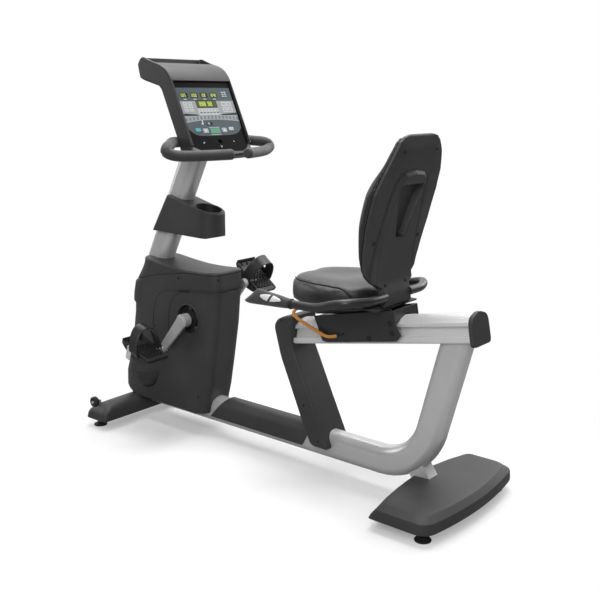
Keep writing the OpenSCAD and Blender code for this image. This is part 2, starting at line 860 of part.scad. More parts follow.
cushion_knots = [[100, 0], [107, 62], [142, 122], [212, 164], [290, cushion_half], [372, cushion_half - 4], [428, 150],
    [454, 100], [456, 0]];

seat_mid = [285, 0];

module seat_cushion() {
    plan = smooth(cushion_knots, 4);
    outline = concat([for (p = plan) [p[0], -p[1]]], reversed(plan));
    color("#222224") hull() {
        translate([0, 0, 664]) linear_extrude(40) polygon(outline);
        translate([0, 0, 664]) linear_extrude(61) polygon([for (p = outline) seat_mid + 0.92 * (p - seat_mid)]);
        translate([0, 0, 664]) linear_extrude(71) polygon([for (p = outline) seat_mid + 0.74 * (p - seat_mid)]);
    }
}

back_rear = smooth([[483, 659], [476, 700], [462, 752], [467, 826], [490, 931], [518, 1031], [541, 1095], [559, 1156], [566, 1204]], 3);
back_front = smooth([[448, 740], [432, 819], [431, 902], [443, 977], [469, 1057], [503, 1118], [525, 1189], [532, 1207]], 3);
back_half_knots = smooth([[659, 78], [722, 80], [745, 118], [770, 146], [826, 161], [931, 176], [1031, back_half - 2],
    [1095, 162], [1156, 135], [1190, 110], [1205, 84], [1212, 40], [1212, 0]], 3);

module back_outline() {
    polygon(concat([for (k = back_half_knots) [k[1], k[0]]], reversed([for (k = back_half_knots) [-k[1], k[0]]])));
}

// Outline of the raised middle panel and of the hand pocket, as distance across and height
panel_knots = [[80, 659], [96, 700], [109, 737], [98, 853], [85, 980], [70, 1073], [50, 1088]];
pocket_knots = [[24, 893], [60, 1040], [54, 1050]];

module mirrored_outline(knots) {
    polygon(concat(knots, reversed([for (k = knots) [-k[0], k[1]]])));
}

// Band that follows the backrest's rear line between two depths
module back_band(front, rear) {
    slab(-200, 200) polygon(concat([for (p = back_rear) p + [rear, 0]], reversed([for (p = back_rear) p + [front, 0]])));
}

// Outline seen from behind, extruded along the bike
module from_behind() {
    translate([300, 0, 0]) rotate([90, 0, 90]) linear_extrude(400) children();
}

module back_shell() {
    color("#333335") difference() {
        union() {
            intersection() {
                back_band(-10, 4);
                from_behind() back_outline();
            }
            intersection() {
                back_band(0, 18);
                from_behind() mirrored_outline(panel_knots);
            }
        }
        intersection() {
            back_band(-4, 60);
            from_behind() mirrored_outline(pocket_knots);
        }
        both_sides() bar(smooth(seat_bar_knots, 3), seat_bar_r + lining);
    }
}

module back_pad() {
    color("#222224") intersection() {
        slab(-200, 200) polygon(concat([for (p = back_rear) if (p[1] > 738) p - [10.3, 0]], reversed(back_front)));
        from_behind() back_outline();
    }
}

seat_bar_knots = [[492, 70, 694], [488, 150, 694], [452, 220, 696], [400, 234, 686], [330, 236, 668], [240, 236, 666]];

module seat_handlebar() {
    color("#2c2c2e") both_sides() bar(smooth(seat_bar_knots, 3), seat_bar_r);
}

module seat_grips() {
    color("#3a3a3c") difference() {
        both_sides() bar([[232, 236, 666], [161, 237, 667], [60, 240, 668]], 18);
        both_sides() bar(smooth(seat_bar_knots, 3), seat_bar_r);
        pulse_blanks();
    }
}

module pulse_blanks() {
    both_sides() for (x = [118, 160]) translate([x, 238, 684]) cube([32, 18, 4], center = true);
}

module pulse_plates() {
    color("silver") pulse_blanks();
}

// ---- Feet and wheels ----

module foot(x, y) {
    color("#1c1c1e") translate([x, y, 0]) {
        cylinder(r = 27, h = 6);
        cylinder(r = 14, h = 14);
        cylinder(r = foot_stem_r, h = 60);
    }
}

module transport_wheel() {
    color("#202022") translate([wheel_at[0], wheel_at[1] - 9, wheel_at[2]]) rotate([-90, 0, 0]) difference() {
        cylinder(r = wheel_r, h = 17);
        translate([0, 0, -1]) cylinder(r = 5 + run_gap, h = 20);
    }
}

base_tube();
rear_post();
mast();
front_crossbar();
front_stabiliser_cover();
rear_crossbar();
rear_stabiliser_cover();
rear_stub();
strut_post();
strut_cover();
base_cover();
seat_rail();
rail_end_cap();
shroud_left();
shroud_right();
shroud_cap();
cover_screws();
cup_holder();
console_housing();
console_bezel();
console_glass();
console_display();
handlebar();
handlebar_grips();
drive_frame();
crank_bearings();
drive_belt();
crank_axle();
drive_pulley();
crank_arms();
pedal_spindles();
pedal_left();
pedal_strap_left();
pedal_right();
pedal_strap_right();
generator_rotor();
carriage_plates();
seat_frame();
seat_cushion();
back_shell();
back_pad();
seat_handlebar();
seat_grips();
pulse_plates();
carriage_bolts();
roller_pair(roller_s[0]);  // front_rollers
roller_pair(roller_s[1]);  // rear_rollers
adjust_lever();
lock_shoe();
mirror([0, 1, 0]) transport_wheel();  // transport_wheel_left
transport_wheel();  // transport_wheel_right
foot(front_foot[0], -front_foot[1]);  // foot_front_left
foot(front_foot[0], front_foot[1]);  // foot_front_right
foot(rear_foot[0], -rear_foot[1]);  // foot_rear_left
foot(rear_foot[0], rear_foot[1]);  // foot_rear_right
key(0, "seagreen");  // key_start
key(2, "lightgray");  // key_up
key(1, "lightgray");  // key_down
key(3, "teal");  // key_mode
key(4, "lightgray");  // key_stop
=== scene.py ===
"""Looks of the recumbent exercise bike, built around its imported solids.

Shapes are worked out in millimetres and become metres when their mesh is built; textures are in metres.
X runs rearwards, Y to the rider's right, Z up.
"""

from __future__ import annotations

import json
import logging
import math
from dataclasses import dataclass
from enum import Enum
from typing import Any, Callable, Sequence

import bmesh
import bpy
import numpy as np
from mathutils import Matrix, Vector
from mathutils.bvhtree import BVHTree

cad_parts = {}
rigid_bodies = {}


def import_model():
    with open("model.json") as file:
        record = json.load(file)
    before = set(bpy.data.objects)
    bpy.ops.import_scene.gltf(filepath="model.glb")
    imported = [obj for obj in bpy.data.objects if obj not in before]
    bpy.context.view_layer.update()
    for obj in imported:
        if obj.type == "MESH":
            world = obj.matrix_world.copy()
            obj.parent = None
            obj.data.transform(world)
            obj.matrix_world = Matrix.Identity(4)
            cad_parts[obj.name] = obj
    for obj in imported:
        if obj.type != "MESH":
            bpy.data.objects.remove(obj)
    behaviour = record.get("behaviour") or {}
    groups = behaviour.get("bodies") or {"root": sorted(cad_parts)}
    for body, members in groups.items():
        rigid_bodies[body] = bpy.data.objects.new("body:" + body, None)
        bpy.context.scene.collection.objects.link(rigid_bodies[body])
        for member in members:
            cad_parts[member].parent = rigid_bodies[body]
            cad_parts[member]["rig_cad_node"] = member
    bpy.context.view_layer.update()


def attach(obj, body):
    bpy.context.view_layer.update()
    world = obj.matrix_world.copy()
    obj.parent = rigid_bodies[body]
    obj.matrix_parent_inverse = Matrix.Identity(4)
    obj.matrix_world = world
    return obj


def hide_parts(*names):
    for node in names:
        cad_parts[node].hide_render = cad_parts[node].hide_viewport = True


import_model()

Array = np.ndarray
Obj = bpy.types.Object
Triple = tuple[float, float, float]
Pairs = tuple[tuple[float, float], ...]
Triples = tuple[Triple, ...]
MM = 0.001
QUARTER = math.pi / 2
WELD = 2e-6
SIDES = (-1, 1)
FAR = 1e9
LOG = logging.getLogger("bike")


# --- curves and outlines ---


def arr(values: Any) -> Array:
    """The values as a float array."""
    return np.asarray(values, float)


def smooth(knots: Any, per: int = 8) -> Array:
    """A Catmull-Rom curve through the knots: each span is a cubic of its four nearest knots.

    Args:
        knots: points of any dimension, one per row.
        per: points in each span.

    Returns:
        The curve's points, one per row.
    """
    k = arr(knots)
    spans = len(k) - 1
    i = np.repeat(np.arange(spans), per)
    t = np.tile(np.arange(per) / per, spans)[:, None]
    a, b, c, d = (k[np.clip(i + step, 0, spans)] for step in (-1, 0, 1, 2))
    out = 0.5 * (2 * b + (c - a) * t + (2 * a - 5 * b + 4 * c - d) * t**2 + (3 * b - a - 3 * c + d) * t**3)
    return np.vstack([out, k[-1:]])


def even(points: Any, count: int, closed: bool = False) -> Array:
    """Points spread evenly by arc length along a polyline.

    Args:
        points: the polyline, one point per row.
        count: how many points come back.
        closed: whether the polyline is a loop.

    Returns:
        The evenly spread points.
    """
    p = arr(points)
    if closed:
        p = np.vstack([p, p[:1]])
    s = np.concatenate([[0], np.cumsum(np.linalg.norm(np.diff(p, axis=0), axis=1))])
    at = np.linspace(0, s[-1], count, endpoint=not closed)
    return np.stack([np.interp(at, s, p[:, j]) for j in range(p.shape[1])], axis=1)


def unit(v: Array) -> Array:
    """Each row scaled to length one."""
    return v / np.maximum(np.linalg.norm(v, axis=-1, keepdims=True), 1e-12)


def rounded(corners: Any, radius: float, steps: int = 6) -> Array:
    """A polygon with each corner turned into an arc-like curve that stays within radius of the corner.

    Args:
        corners: the polygon's corners, one per row.
        radius: how far from the corner the curve starts.
        steps: points in each corner's curve.

    Returns:
        The closed outline: a quadratic blend from the point before to the point after each corner.
    """
    p = arr(corners)
    back, ahead = np.roll(p, 1, 0) - p, np.roll(p, -1, 0) - p
    reach = np.minimum(radius, 0.48 * np.minimum(np.linalg.norm(back, axis=1), np.linalg.norm(ahead, axis=1)))[:, None]
    a, b = p + unit(back) * reach, p + unit(ahead) * reach
    t = np.linspace(0, 1, steps)[None, :, None]
    curve = (1 - t) ** 2 * a[:, None] + 2 * t * (1 - t) * p[:, None] + t**2 * b[:, None]
    return curve.reshape(-1, p.shape[1])


def rect(width: float, height: float, radius: float, steps: int = 8) -> Array:
    """A rectangle about the origin with true quarter-circle corners, counter-clockwise."""
    t = np.linspace(0, QUARTER, steps)
    arc = radius * np.stack([np.cos(t), np.sin(t)], 1)
    out = []
    for k, (sx, sy) in enumerate([(1, 1), (-1, 1), (-1, -1), (1, -1)]):
        turn = k * QUARTER
        c, s = math.cos(turn), math.sin(turn)
        out.append(arc @ arr([[c, s], [-s, c]]) + [sx * (width / 2 - radius), sy * (height / 2 - radius)])
    return np.vstack(out)


def circle(radius: float, count: int) -> Array:
    """A circle about the origin, counter-clockwise."""
    t = np.arange(count) * 2 * math.pi / count
    return radius * np.stack([np.cos(t), np.sin(t)], 1)


def level(plan: Array, z: Any) -> Array:
    """The points of a plan at a height."""
    return np.stack([plan[:, 0], plan[:, 1], z + 0 * plan[:, 0]], 1)


def side_name(side: float) -> str:
    """The side of the bike, from the sign of Y."""
    return "right" if side > 0 else "left"


def inset(outline: Array, depth: float | Array) -> Array:
    """A closed counter-clockwise outline moved inwards by depth along the bisector of its two edges."""
    edge = unit(np.roll(outline, -1, 0) - outline)
    mean = unit(edge + np.roll(edge, 1, 0))
    normal = np.stack([-mean[:, 1], mean[:, 0]], 1)
    return outline + normal * np.asarray(depth).reshape(-1, 1)


def counter_clockwise(outline: Array) -> Array:
    """The outline turned so that its area is positive."""
    x, y = outline[:, 0], outline[:, 1]
    return outline if np.sum(x * np.roll(y, -1) - np.roll(x, -1) * y) > 0 else outline[::-1]


def ramp(x: Array, low: float, high: float) -> Array:
    """A smooth step from 0 at low to 1 at high: 3t^2 - 2t^3."""
    t = np.clip((x - low) / (high - low), 0, 1)
    return t * t * (3 - 2 * t)


# --- meshes ---


class Skin:
    """Collects grids and rings of points and joins them into one closed mesh."""

    def __init__(self) -> None:
        """Starts with no points."""
        self.points: list[Array] = []
        self.faces: list[Array] = []
        self.rings: list[list[int]] = []
        self.marks: list[Array] = []
        self.ring_marks: list[int] = []
        self.count = 0

    def grid(self, p: Array, wrap_u: bool = False, wrap_v: bool = False, mark: int = 0) -> Array:
        """Adds a surface given as a grid of points.

        Args:
            p: the points, rows by columns by three.
            wrap_u: whether the last row joins the first.
            wrap_v: whether the last column joins the first.
            mark: material slot of its faces.

        Returns:
            The indices of the points, rows by columns.
        """
        rows, cols = p.shape[:2]
        index = np.arange(rows * cols).reshape(rows, cols) + self.count
        self.points.append(p.reshape(-1, 3))
        self.count += rows * cols
        i = index if not wrap_u else np.vstack([index, index[:1]])
        i = i if not wrap_v else np.hstack([i, i[:, :1]])
        quads = np.stack([i[:-1, :-1], i[:-1, 1:], i[1:, 1:], i[1:, :-1]], -1).reshape(-1, 4)
        self.faces.append(quads)
        self.marks.append(np.full(len(quads), mark))
        return index

    def cap(self, ring: Array, mark: int = 0) -> None:
        """Closes a ring of point indices with one flat face."""
        self.rings.append(ring.tolist())
        self.ring_marks.append(mark)

    def tube(self, p: Array, mark: int = 0) -> None:
        """Adds a grid whose columns close round, with flat faces at both ends."""
        index = self.grid(p, wrap_v=True, mark=mark)
        self.cap(index[0], mark)
        self.cap(index[-1], mark)

    def turn(self, profile: Any, at: Any, axis: Any, count: int, mark: int = 0) -> None:
        """Adds a lathe profile about an axis through a point."""
        self.tube(placed(lathe(profile, count), at, axis), mark)

    def build(self, name: str, finishes: Sequence["Finish"], angle: float = 32) -> Obj:
        """Makes the object, with its doubles merged and its faces pointing outwards.

        Args:
            name: the object's name.
            finishes: the finish of each material slot.
            angle: edges sharper than this many degrees stay crisp.

        Returns:
            The object, linked to the scene.
        """
        points = np.vstack(self.points) * MM
        faces = np.vstack(self.faces).tolist() + self.rings
        marks = np.concatenate([*self.marks, self.ring_marks])
        mesh = bpy.data.meshes.new(name)
        mesh.from_pydata(points.tolist(), [], faces)
        mesh.polygons.foreach_set("material_index", marks.astype(np.int32))
        bm = bmesh.new()
        bm.from_mesh(mesh)
        bmesh.ops.remove_doubles(bm, verts=bm.verts, dist=WELD)
        bmesh.ops.dissolve_degenerate(bm, edges=bm.edges, dist=WELD)
        bmesh.ops.recalc_face_normals(bm, faces=bm.faces)
        bm.to_mesh(mesh)
        bm.free()
        return shown(mesh, name, finishes, angle)


def wrapped(name: str, grid: Array, finish: "Finish", angle: float = 32) -> Obj:
    """A piece of one grid whose columns close round, with flat faces at both ends."""
    skin = Skin()
    skin.tube(grid)
    return skin.build(name, [finish], angle)


def shown(mesh: bpy.types.Mesh, name: str, finishes: Sequence["Finish"], angle: float) -> Obj:
    """Links a mesh as an object with its finishes, smooth apart from edges sharper than angle degrees."""
    obj = bpy.data.objects.new(name, mesh)
    bpy.context.scene.collection.objects.link(obj)
    for f in finishes:
        mesh.materials.append(f.material())
    soften(mesh, angle)
    return flattened(obj)


def soften(mesh: bpy.types.Mesh, angle: float) -> None:
    """Shades a mesh smooth, with edges sharper than angle degrees left crisp."""
    mesh.shade_smooth()
    mesh.set_sharp_from_angle(angle=math.radians(angle))


def flattened(obj: Obj) -> Obj:
    """Lets large faces set the shading next to them, so that flat areas stay flat beside rounded rims."""
    m = obj.modifiers.new("flat", "WEIGHTED_NORMAL")
    m.keep_sharp = True
    return obj


def carried(path: Array, section: Array, up: Any = (0, 1, 0), scale: Array | None = None) -> Array:
    """A section carried along a path: point = path + a * side + b * normal for each (a, b) of the section.

    Side is up less its part along the path's tangent, and normal is square to both.

    Args:
        path: the path's points.
        section: the section's points, two numbers each.
        up: direction that the section's first axis stays close to.
        scale: one factor per path point, or none.

    Returns:
        A grid of points, path by section by three.
    """
    tangent = unit(np.gradient(path, axis=0))
    lead = np.broadcast_to(arr(up), path.shape)
    side = unit(lead - np.sum(lead * tangent, 1, keepdims=True) * tangent)
    normal = np.cross(tangent, side)
    s = np.ones(len(path)) if scale is None else scale
    across = section[None, :, :1] * side[:, None] + section[None, :, 1:] * normal[:, None]
    return path[:, None] + s[:, None, None] * across


def round_ends(path: Array, radius: float, steps: int = 5) -> tuple[Array, Array]:
    """A path with extra points at both ends, and scales that close a section there along a quarter circle."""
    t = np.linspace(0, QUARTER, steps)[1:]
    first, last = unit(path[0] - path[1]), unit(path[-1] - path[-2])
    head = path[0] + first * (radius * np.sin(t))[:, None]
    tail = path[-1] + last * (radius * np.sin(t))[:, None]
    ends = np.maximum(np.cos(t), 0.02)
    return np.vstack([head[::-1], path, tail]), np.concatenate([ends[::-1], np.ones(len(path)), ends])


def rod(name: str, path: Array, radius: float, finish: "Finish", sides: int = 24, up: Any = (0, 1, 0.01),
        end: float = 0.4) -> Obj:
    """A round bar along a path, its ends rounded by the share end of its radius."""
    full, scale = round_ends(path, radius * end)
    scale = 1 - (1 - scale) * end
    return wrapped(name, carried(full, circle(radius, sides), up, scale), finish, 50)


def slab_points(outline: Array, y0: float, y1: float, radius: float, steps: int = 4) -> Array:
    """Rows of a side-view outline carried from y0 to y1, drawn in along a quarter circle at both faces.

    Args:
        outline: side-view outline as x and z.
        y0: lower Y.
        y1: upper Y.
        radius: radius of the rounded rims.
        steps: rows in each rim.

    Returns:
        A grid, rows by outline points by three.
    """
    loop = counter_clockwise(outline)
    t = np.linspace(0, QUARTER, steps + 1)
    depth = radius * (1 - np.sin(t))
    lift = radius * (1 - np.cos(t))
    ys = np.concatenate([y0 + lift, (y1 - lift)[::-1]])
    ds = np.concatenate([depth, depth[::-1]])
    rows = [np.insert(inset(loop, d), 1, y, axis=1) for y, d in zip(ys, ds)]
    return np.stack(rows)


def slab(name: str, outline: Array, y0: float, y1: float, radius: float, finish: "Finish", steps: int) -> Obj:
    """A side-view outline as a plate between two values of Y, with rounded rims."""
    return wrapped(name, slab_points(outline, y0, y1, radius, steps), finish)


def lathe(profile: Any, count: int = 40) -> Array:
    """A profile of (radius, height) turned about +Z: x = r cos t, y = r sin t, z = height."""
    p = arr(profile)
    flat = p[:, None, :1] * circle(1.0, count)[None]
    return np.concatenate([flat, np.broadcast_to(p[:, None, 1:], (len(p), count, 1))], -1)


def placed(p: Array, at: Any, axis: Any = (0, 0, 1)) -> Array:
    """Points made about +Z, turned so that +Z lies along axis, and moved to at."""
    z = unit(arr(axis))
    x = unit(np.cross([0.0, 1, 0] if abs(z[1]) < 0.9 else [1.0, 0, 0], z))
    turn = np.stack([x, np.cross(z, x), z])
    return p @ turn + arr(at)


def turned(name: str, profile: Any, at: Any, axis: Any, finish: "Finish", count: int = 40) -> Obj:
    """A turned piece: a lathe profile about an axis through a point."""
    return wrapped(name, placed(lathe(profile, count), at, axis), finish, 40)


def settled(obj: Obj) -> Obj:
    """The object with its modifiers applied to its mesh."""
    dg = bpy.context.evaluated_depsgraph_get()
    mesh = bpy.data.meshes.new_from_object(obj.evaluated_get(dg), depsgraph=dg)
    obj.modifiers.clear()
    obj.data = mesh
    return obj


def carve(obj: Obj, *cutters: Obj, angle: float = 32) -> Obj:
    """Cuts the cutters' shapes out of an object and removes them."""
    obj.modifiers.clear()
    for c in cutters:
        c.modifiers.clear()
        m = obj.modifiers.new("cut", "BOOLEAN")
        m.operation, m.solver, m.object, m.material_mode = "DIFFERENCE", "MANIFOLD", c, "TRANSFER"
        settled(obj)
    for c in cutters:
        bpy.data.objects.remove(c)
    soften(obj.data, angle)
    return flattened(obj)


def edged(obj: Obj, width: float, segments: int) -> Obj:
    """Adds a small bevel to every edge sharper than 30 degrees."""
    obj.modifiers.clear()
    m = obj.modifiers.new("edge", "BEVEL")
    m.width, m.segments, m.limit_method, m.angle_limit = width * MM, segments, "ANGLE", math.radians(30)
    return flattened(obj)


# --- shaders ---


class Value:
    """A socket that takes part in arithmetic. Each operator adds one Math node."""

    def __init__(self, board: "Board", socket: Any) -> None:
        """Wraps a node's output socket."""
        self.board, self.socket = board, socket

    def _maths(self, operation: str, *others: Any) -> "Value":
        """One Math node with this value first."""
        return self.board.node("ShaderNodeMath", {"operation": operation}, [self, *others])

    def __add__(self, other: Any) -> "Value":
        """Sum."""
        return self._maths("ADD", other)

    __radd__ = __add__

    def __mul__(self, other: Any) -> "Value":
        """Product."""
        return self._maths("MULTIPLY", other)

    def __sub__(self, other: Any) -> "Value":
        """Difference."""
        return self._maths("SUBTRACT", other)

    def __rsub__(self, other: Any) -> "Value":
        """Difference, with this value taken away."""
        return self.board.node("ShaderNodeMath", {"operation": "SUBTRACT"}, [other, self])

    def __abs__(self) -> "Value":
        """Size without sign."""
        return self._maths("ABSOLUTE")

    def between(self, low: float, high: float, start: float = 0.0, end: float = 1.0) -> "Value":
        """This value run smoothly from start at low to end at high, and held outside."""
        ends = {0: self, 1: low, 2: high, 3: start, 4: end}
        return self.board.node("ShaderNodeMapRange", {"interpolation_type": "SMOOTHSTEP"}, ends)


class Board:
    """The node tree of a material or of the world."""

    def __init__(self, owner: Any) -> None:
        """Starts the owner's tree empty."""
        owner.use_nodes = True
        self.tree = owner.node_tree
        self.tree.nodes.clear()
        self.shader: Any = None
        self.place: Value | None = None

    def node(self, kind: str, settings: dict[str, Any], inputs: Any = (), output: int | str = 0) -> Value:
        """Adds a node.

        Args:
            kind: the node's type.
            settings: attributes set before its sockets.
            inputs: a list in socket order, or a dict by index or name, of numbers, tuples or Values.
            output: which output comes back.

        Returns:
            That output as a Value.
        """
        n = self.tree.nodes.new(kind)
        for key, value in settings.items():
            setattr(n, key, value)
        pairs = inputs.items() if isinstance(inputs, dict) else enumerate(inputs)
        for key, value in pairs:
            self.feed(n.inputs[key], value)
        return Value(self, n.outputs[output])

    def shows(self, kind: str, shader: Any) -> None:
        """Ends the tree in an output node of a kind, fed by a shader's socket."""
        self.tree.links.new(shader, self.tree.nodes.new(kind).inputs[0])

    def feed(self, socket: Any, value: Any) -> None:
        """Links a Value to a socket, or sets the socket's number."""
        if isinstance(value, Value):
            self.tree.links.new(value.socket, socket)
        else:
            socket.default_value = value

    def set(self, **inputs: Any) -> None:
        """Sets the shader's sockets by name, with _ for a space."""
        for key, value in inputs.items():
            self.feed(self.shader.inputs[key.replace("_", " ")], value)

    def object_place(self) -> Value:
        """Object coordinates, made once."""
        if self.place is None:
            self.place = self.node("ShaderNodeTexCoord", {}, output="Object")
        return self.place

    def stretched(self, scale: Triple) -> Value:
        """Object coordinates with a scale on each axis."""
        return self.node("ShaderNodeMapping", {}, {"Vector": self.object_place(), "Scale": scale})

    def noise(self, scale: float, detail: float = 2.0, rough: float = 0.5, at: Value | None = None) -> Value:
        """Noise from 0 to 1."""
        inputs = {"Vector": at or self.object_place(), "Scale": scale, "Detail": detail, "Roughness": rough}
        return self.node("ShaderNodeTexNoise", {}, inputs)

    def cells(self, scale: float, feature: str = "F1", at: Value | None = None) -> Value:
        """Distance to the nearest point of a scattered pattern."""
        return self.node("ShaderNodeTexVoronoi", {"feature": feature},
            {"Vector": at or self.object_place(), "Scale": scale})

    def blend(self, share: Any, a: Any, b: Any) -> Value:
        """Colour a turned to b by share."""
        four = lambda c: c if isinstance(c, Value) else (*c, 1.0)  # noqa: E731
        return self.node("ShaderNodeMix", {"data_type": "RGBA"}, {0: share, 6: four(a), 7: four(b)}, output=2)

    def bump(self, height: Value, distance: float, strength: float = 1.0, under: Value | None = None) -> Value:
        """A bump from a height, with distance in metres for a height of one."""
        inputs: dict[Any, Any] = {"Strength": strength, "Distance": distance, "Height": height}
        if under is not None:
            inputs["Normal"] = under
        return self.node("ShaderNodeBump", {}, inputs)


def shade(colour: Sequence[float], factor: float) -> Triple:
    """A colour made lighter or darker."""
    return tuple(min(1.0, c * factor) for c in colour)


@dataclass(frozen=True)
class Finish:
    """Base of all finishes: a name, a colour and a roughness."""

    name: str
    colour: Triple
    rough: float = 0.5

    def material(self) -> bpy.types.Material:
        """The material, made once and then kept."""
        name = f"{self.name}_finish"
        found = bpy.data.materials.get(name)
        if found:
            return found
        mat = bpy.data.materials.new(name)
        board = Board(mat)
        board.shader = board.tree.nodes.new("ShaderNodeBsdfPrincipled")
        board.shows("ShaderNodeOutputMaterial", board.shader.outputs[0])
        self.dress(board)
        mat.diffuse_color = (*self.colour, 1)
        return mat

    def dress(self, b: Board) -> None:
        """Sets up the shader."""
        b.set(Base_Color=(*self.colour, 1), Roughness=self.rough)


@dataclass(frozen=True)
class Moulded(Finish):
    """Moulded plastic with a fine spark-eroded grain, faint clouding and light scuffs."""

    grain: float = 1300.0
    depth: float = 0.00006
    cloud: float = 0.12
    coat: float = 0.0

    def dress(self, b: Board) -> None:
        """Grain from scattered cells over noise; scuffs are thin stretched noise that turns lighter and rougher."""
        grain = b.cells(self.grain) * 0.6 + b.noise(self.grain * 0.55, 3.0) * 0.5
        cloud = b.noise(7.0, 3.0).between(0.35, 0.7)
        scuff = b.noise(55.0, 4.0, 0.7, b.stretched((1.0, 1.0, 5.0))).between(0.66, 0.8)
        base = b.blend(cloud, shade(self.colour, 1 - self.cloud), shade(self.colour, 1 + self.cloud))
        b.set(Base_Color=b.blend(scuff * 0.35, base, shade(self.colour, 1.7)))
        b.set(Roughness=grain * 0.10 + scuff * 0.08 + (self.rough - 0.06))
        b.set(Specular_IOR_Level=0.42, Coat_Weight=self.coat, Coat_Roughness=0.12)
        b.set(Normal=b.bump(grain, self.depth))


@dataclass(frozen=True)
class PowderCoat(Finish):
    """Satin metallic paint: fine flakes, orange peel and a little dust."""

    metal: float = 0.55

    def dress(self, b: Board) -> None:
        """Flakes are small cells whose cut-off brightness varies the colour; peel is broad low noise."""
        flake = b.cells(2600.0).between(0.1, 0.5)
        peel = b.noise(240.0, 2.0)
        dust = b.noise(14.0, 4.0, 0.6).between(0.45, 0.75)
        base = b.blend(flake, shade(self.colour, 1.08), shade(self.colour, 0.9))
        b.set(Base_Color=b.blend(dust * 0.12, base, shade(self.colour, 1.2)))
        b.set(Metallic=self.metal, Roughness=dust * 0.06 + self.rough, Coat_Weight=0.25, Coat_Roughness=0.25)
        b.set(Normal=b.bump(peel, 0.00012, 0.5))


class Grain(Enum):
    """Direction in which a drawn metal's lines run: the scale on each axis of its noise."""

    ALONG_X = (4.0, 900.0, 900.0)
    EVEN = (500.0, 500.0, 500.0)


@dataclass(frozen=True)
class Metal(Finish):
    """Bare metal with drawn or brushed lines and faint handling marks."""

    lines: Grain = Grain.EVEN
    depth: float = 0.00002
    metal: float = 1.0

    def dress(self, b: Board) -> None:
        """Lines are noise stretched along one axis; marks are broad noise that raises roughness."""
        lines = b.noise(1.0, 3.0, 0.6, b.stretched(self.lines.value))
        marks = b.noise(24.0, 4.0, 0.65).between(0.5, 0.75)
        b.set(Base_Color=b.blend(lines, shade(self.colour, 0.9), shade(self.colour, 1.06)), Metallic=self.metal)
        b.set(Roughness=lines * 0.12 + marks * 0.08 + (self.rough - 0.06))
        b.set(Normal=b.bump(lines, self.depth))


@dataclass(frozen=True)
class Foam(Finish):
    """Foam or rubber: open pores, dull, with a soft sheen."""

    pores: float = 900.0
    depth: float = 0.00016
    sheen: float = 0.25

    def dress(self, b: Board) -> None:
        """Pores are cells, painted darker towards their centres as painted shade in the pits; wear is broad noise that
        smooths and darkens.
        """
        pores = b.cells(self.pores).between(0.05, 0.55)
        wear = b.noise(18.0, 3.0).between(0.4, 0.7)
        base = b.blend(pores, shade(self.colour, 0.55), shade(self.colour, 1.1))
        b.set(Base_Color=b.blend(wear * 0.3, base, shade(self.colour, 1.35)))
        b.set(Roughness=self.rough - wear * 0.08, Sheen_Weight=self.sheen, Sheen_Roughness=0.5, Specular_IOR_Level=0.35)
        b.set(Normal=b.bump(pores, self.depth, 0.8))


@dataclass(frozen=True)
class Leatherette(Finish):
    """Coated upholstery cloth: pebbled grain, fine creases and a satin glow."""

    pebble: float = 620.0

    def dress(self, b: Board) -> None:
        """Pebbles are the distance to cell edges, and the valleys between them are painted darker as painted shade;
        creases are two warped noises; both feed the bump.
        """
        drift = b.node("ShaderNodeTexNoise", {}, {"Vector": b.object_place(), "Scale": 60.0}, output="Color")
        warp = b.node("ShaderNodeVectorMath", {"operation": "MULTIPLY_ADD"}, [drift, (0.004,) * 3, b.object_place()])
        pebble = b.cells(self.pebble, "DISTANCE_TO_EDGE", warp).between(0.02, 0.22)
        crease = abs(b.noise(26.0, 5.0, 0.6) - 0.5).between(0.0, 0.05)
        worn = b.noise(6.0, 3.0).between(0.4, 0.7)
        base = b.blend(pebble, shade(self.colour, 0.6), shade(self.colour, 1.08))
        b.set(Base_Color=b.blend(worn * 0.35, base, shade(self.colour, 1.5)))
        b.set(Roughness=self.rough + worn * 0.07 - pebble * 0.04, Specular_IOR_Level=0.5, Sheen_Weight=0.06)
        b.set(Normal=b.bump(crease, 0.0002, 0.35, b.bump(pebble, 0.00012, 0.6)))


@dataclass(frozen=True)
class Gloss(Finish):
    """Hard glossy plastic or lacquer, with faint finger marks."""

    coat: float = 0.6
    shine: float = 0.5

    def dress(self, b: Board) -> None:
        """Finger marks are broad noise that clouds the gloss."""
        b.set(Specular_IOR_Level=self.shine)
        marks = b.noise(30.0, 4.0, 0.6).between(0.5, 0.8)
        speck = b.noise(900.0, 1.0)
        b.set(Base_Color=b.blend(speck, shade(self.colour, 0.92), shade(self.colour, 1.08)))
        b.set(Roughness=marks * 0.10 + self.rough, Coat_Weight=self.coat, Coat_Roughness=0.05)


@dataclass(frozen=True)
class Ink(Finish):
    """Print or a lit segment under a clear film."""

    glow: float = 0.0

    def dress(self, b: Board) -> None:
        """A fine screen of dots varies the colour; lit areas also glow."""
        dots = b.cells(1500.0).between(0.2, 0.6)
        tint = b.blend(dots, shade(self.colour, 1.05), shade(self.colour, 0.9))
        b.set(Base_Color=tint, Roughness=self.rough, Specular_IOR_Level=0.1)
        if self.glow:
            b.set(Emission_Color=tint, Emission_Strength=self.glow)


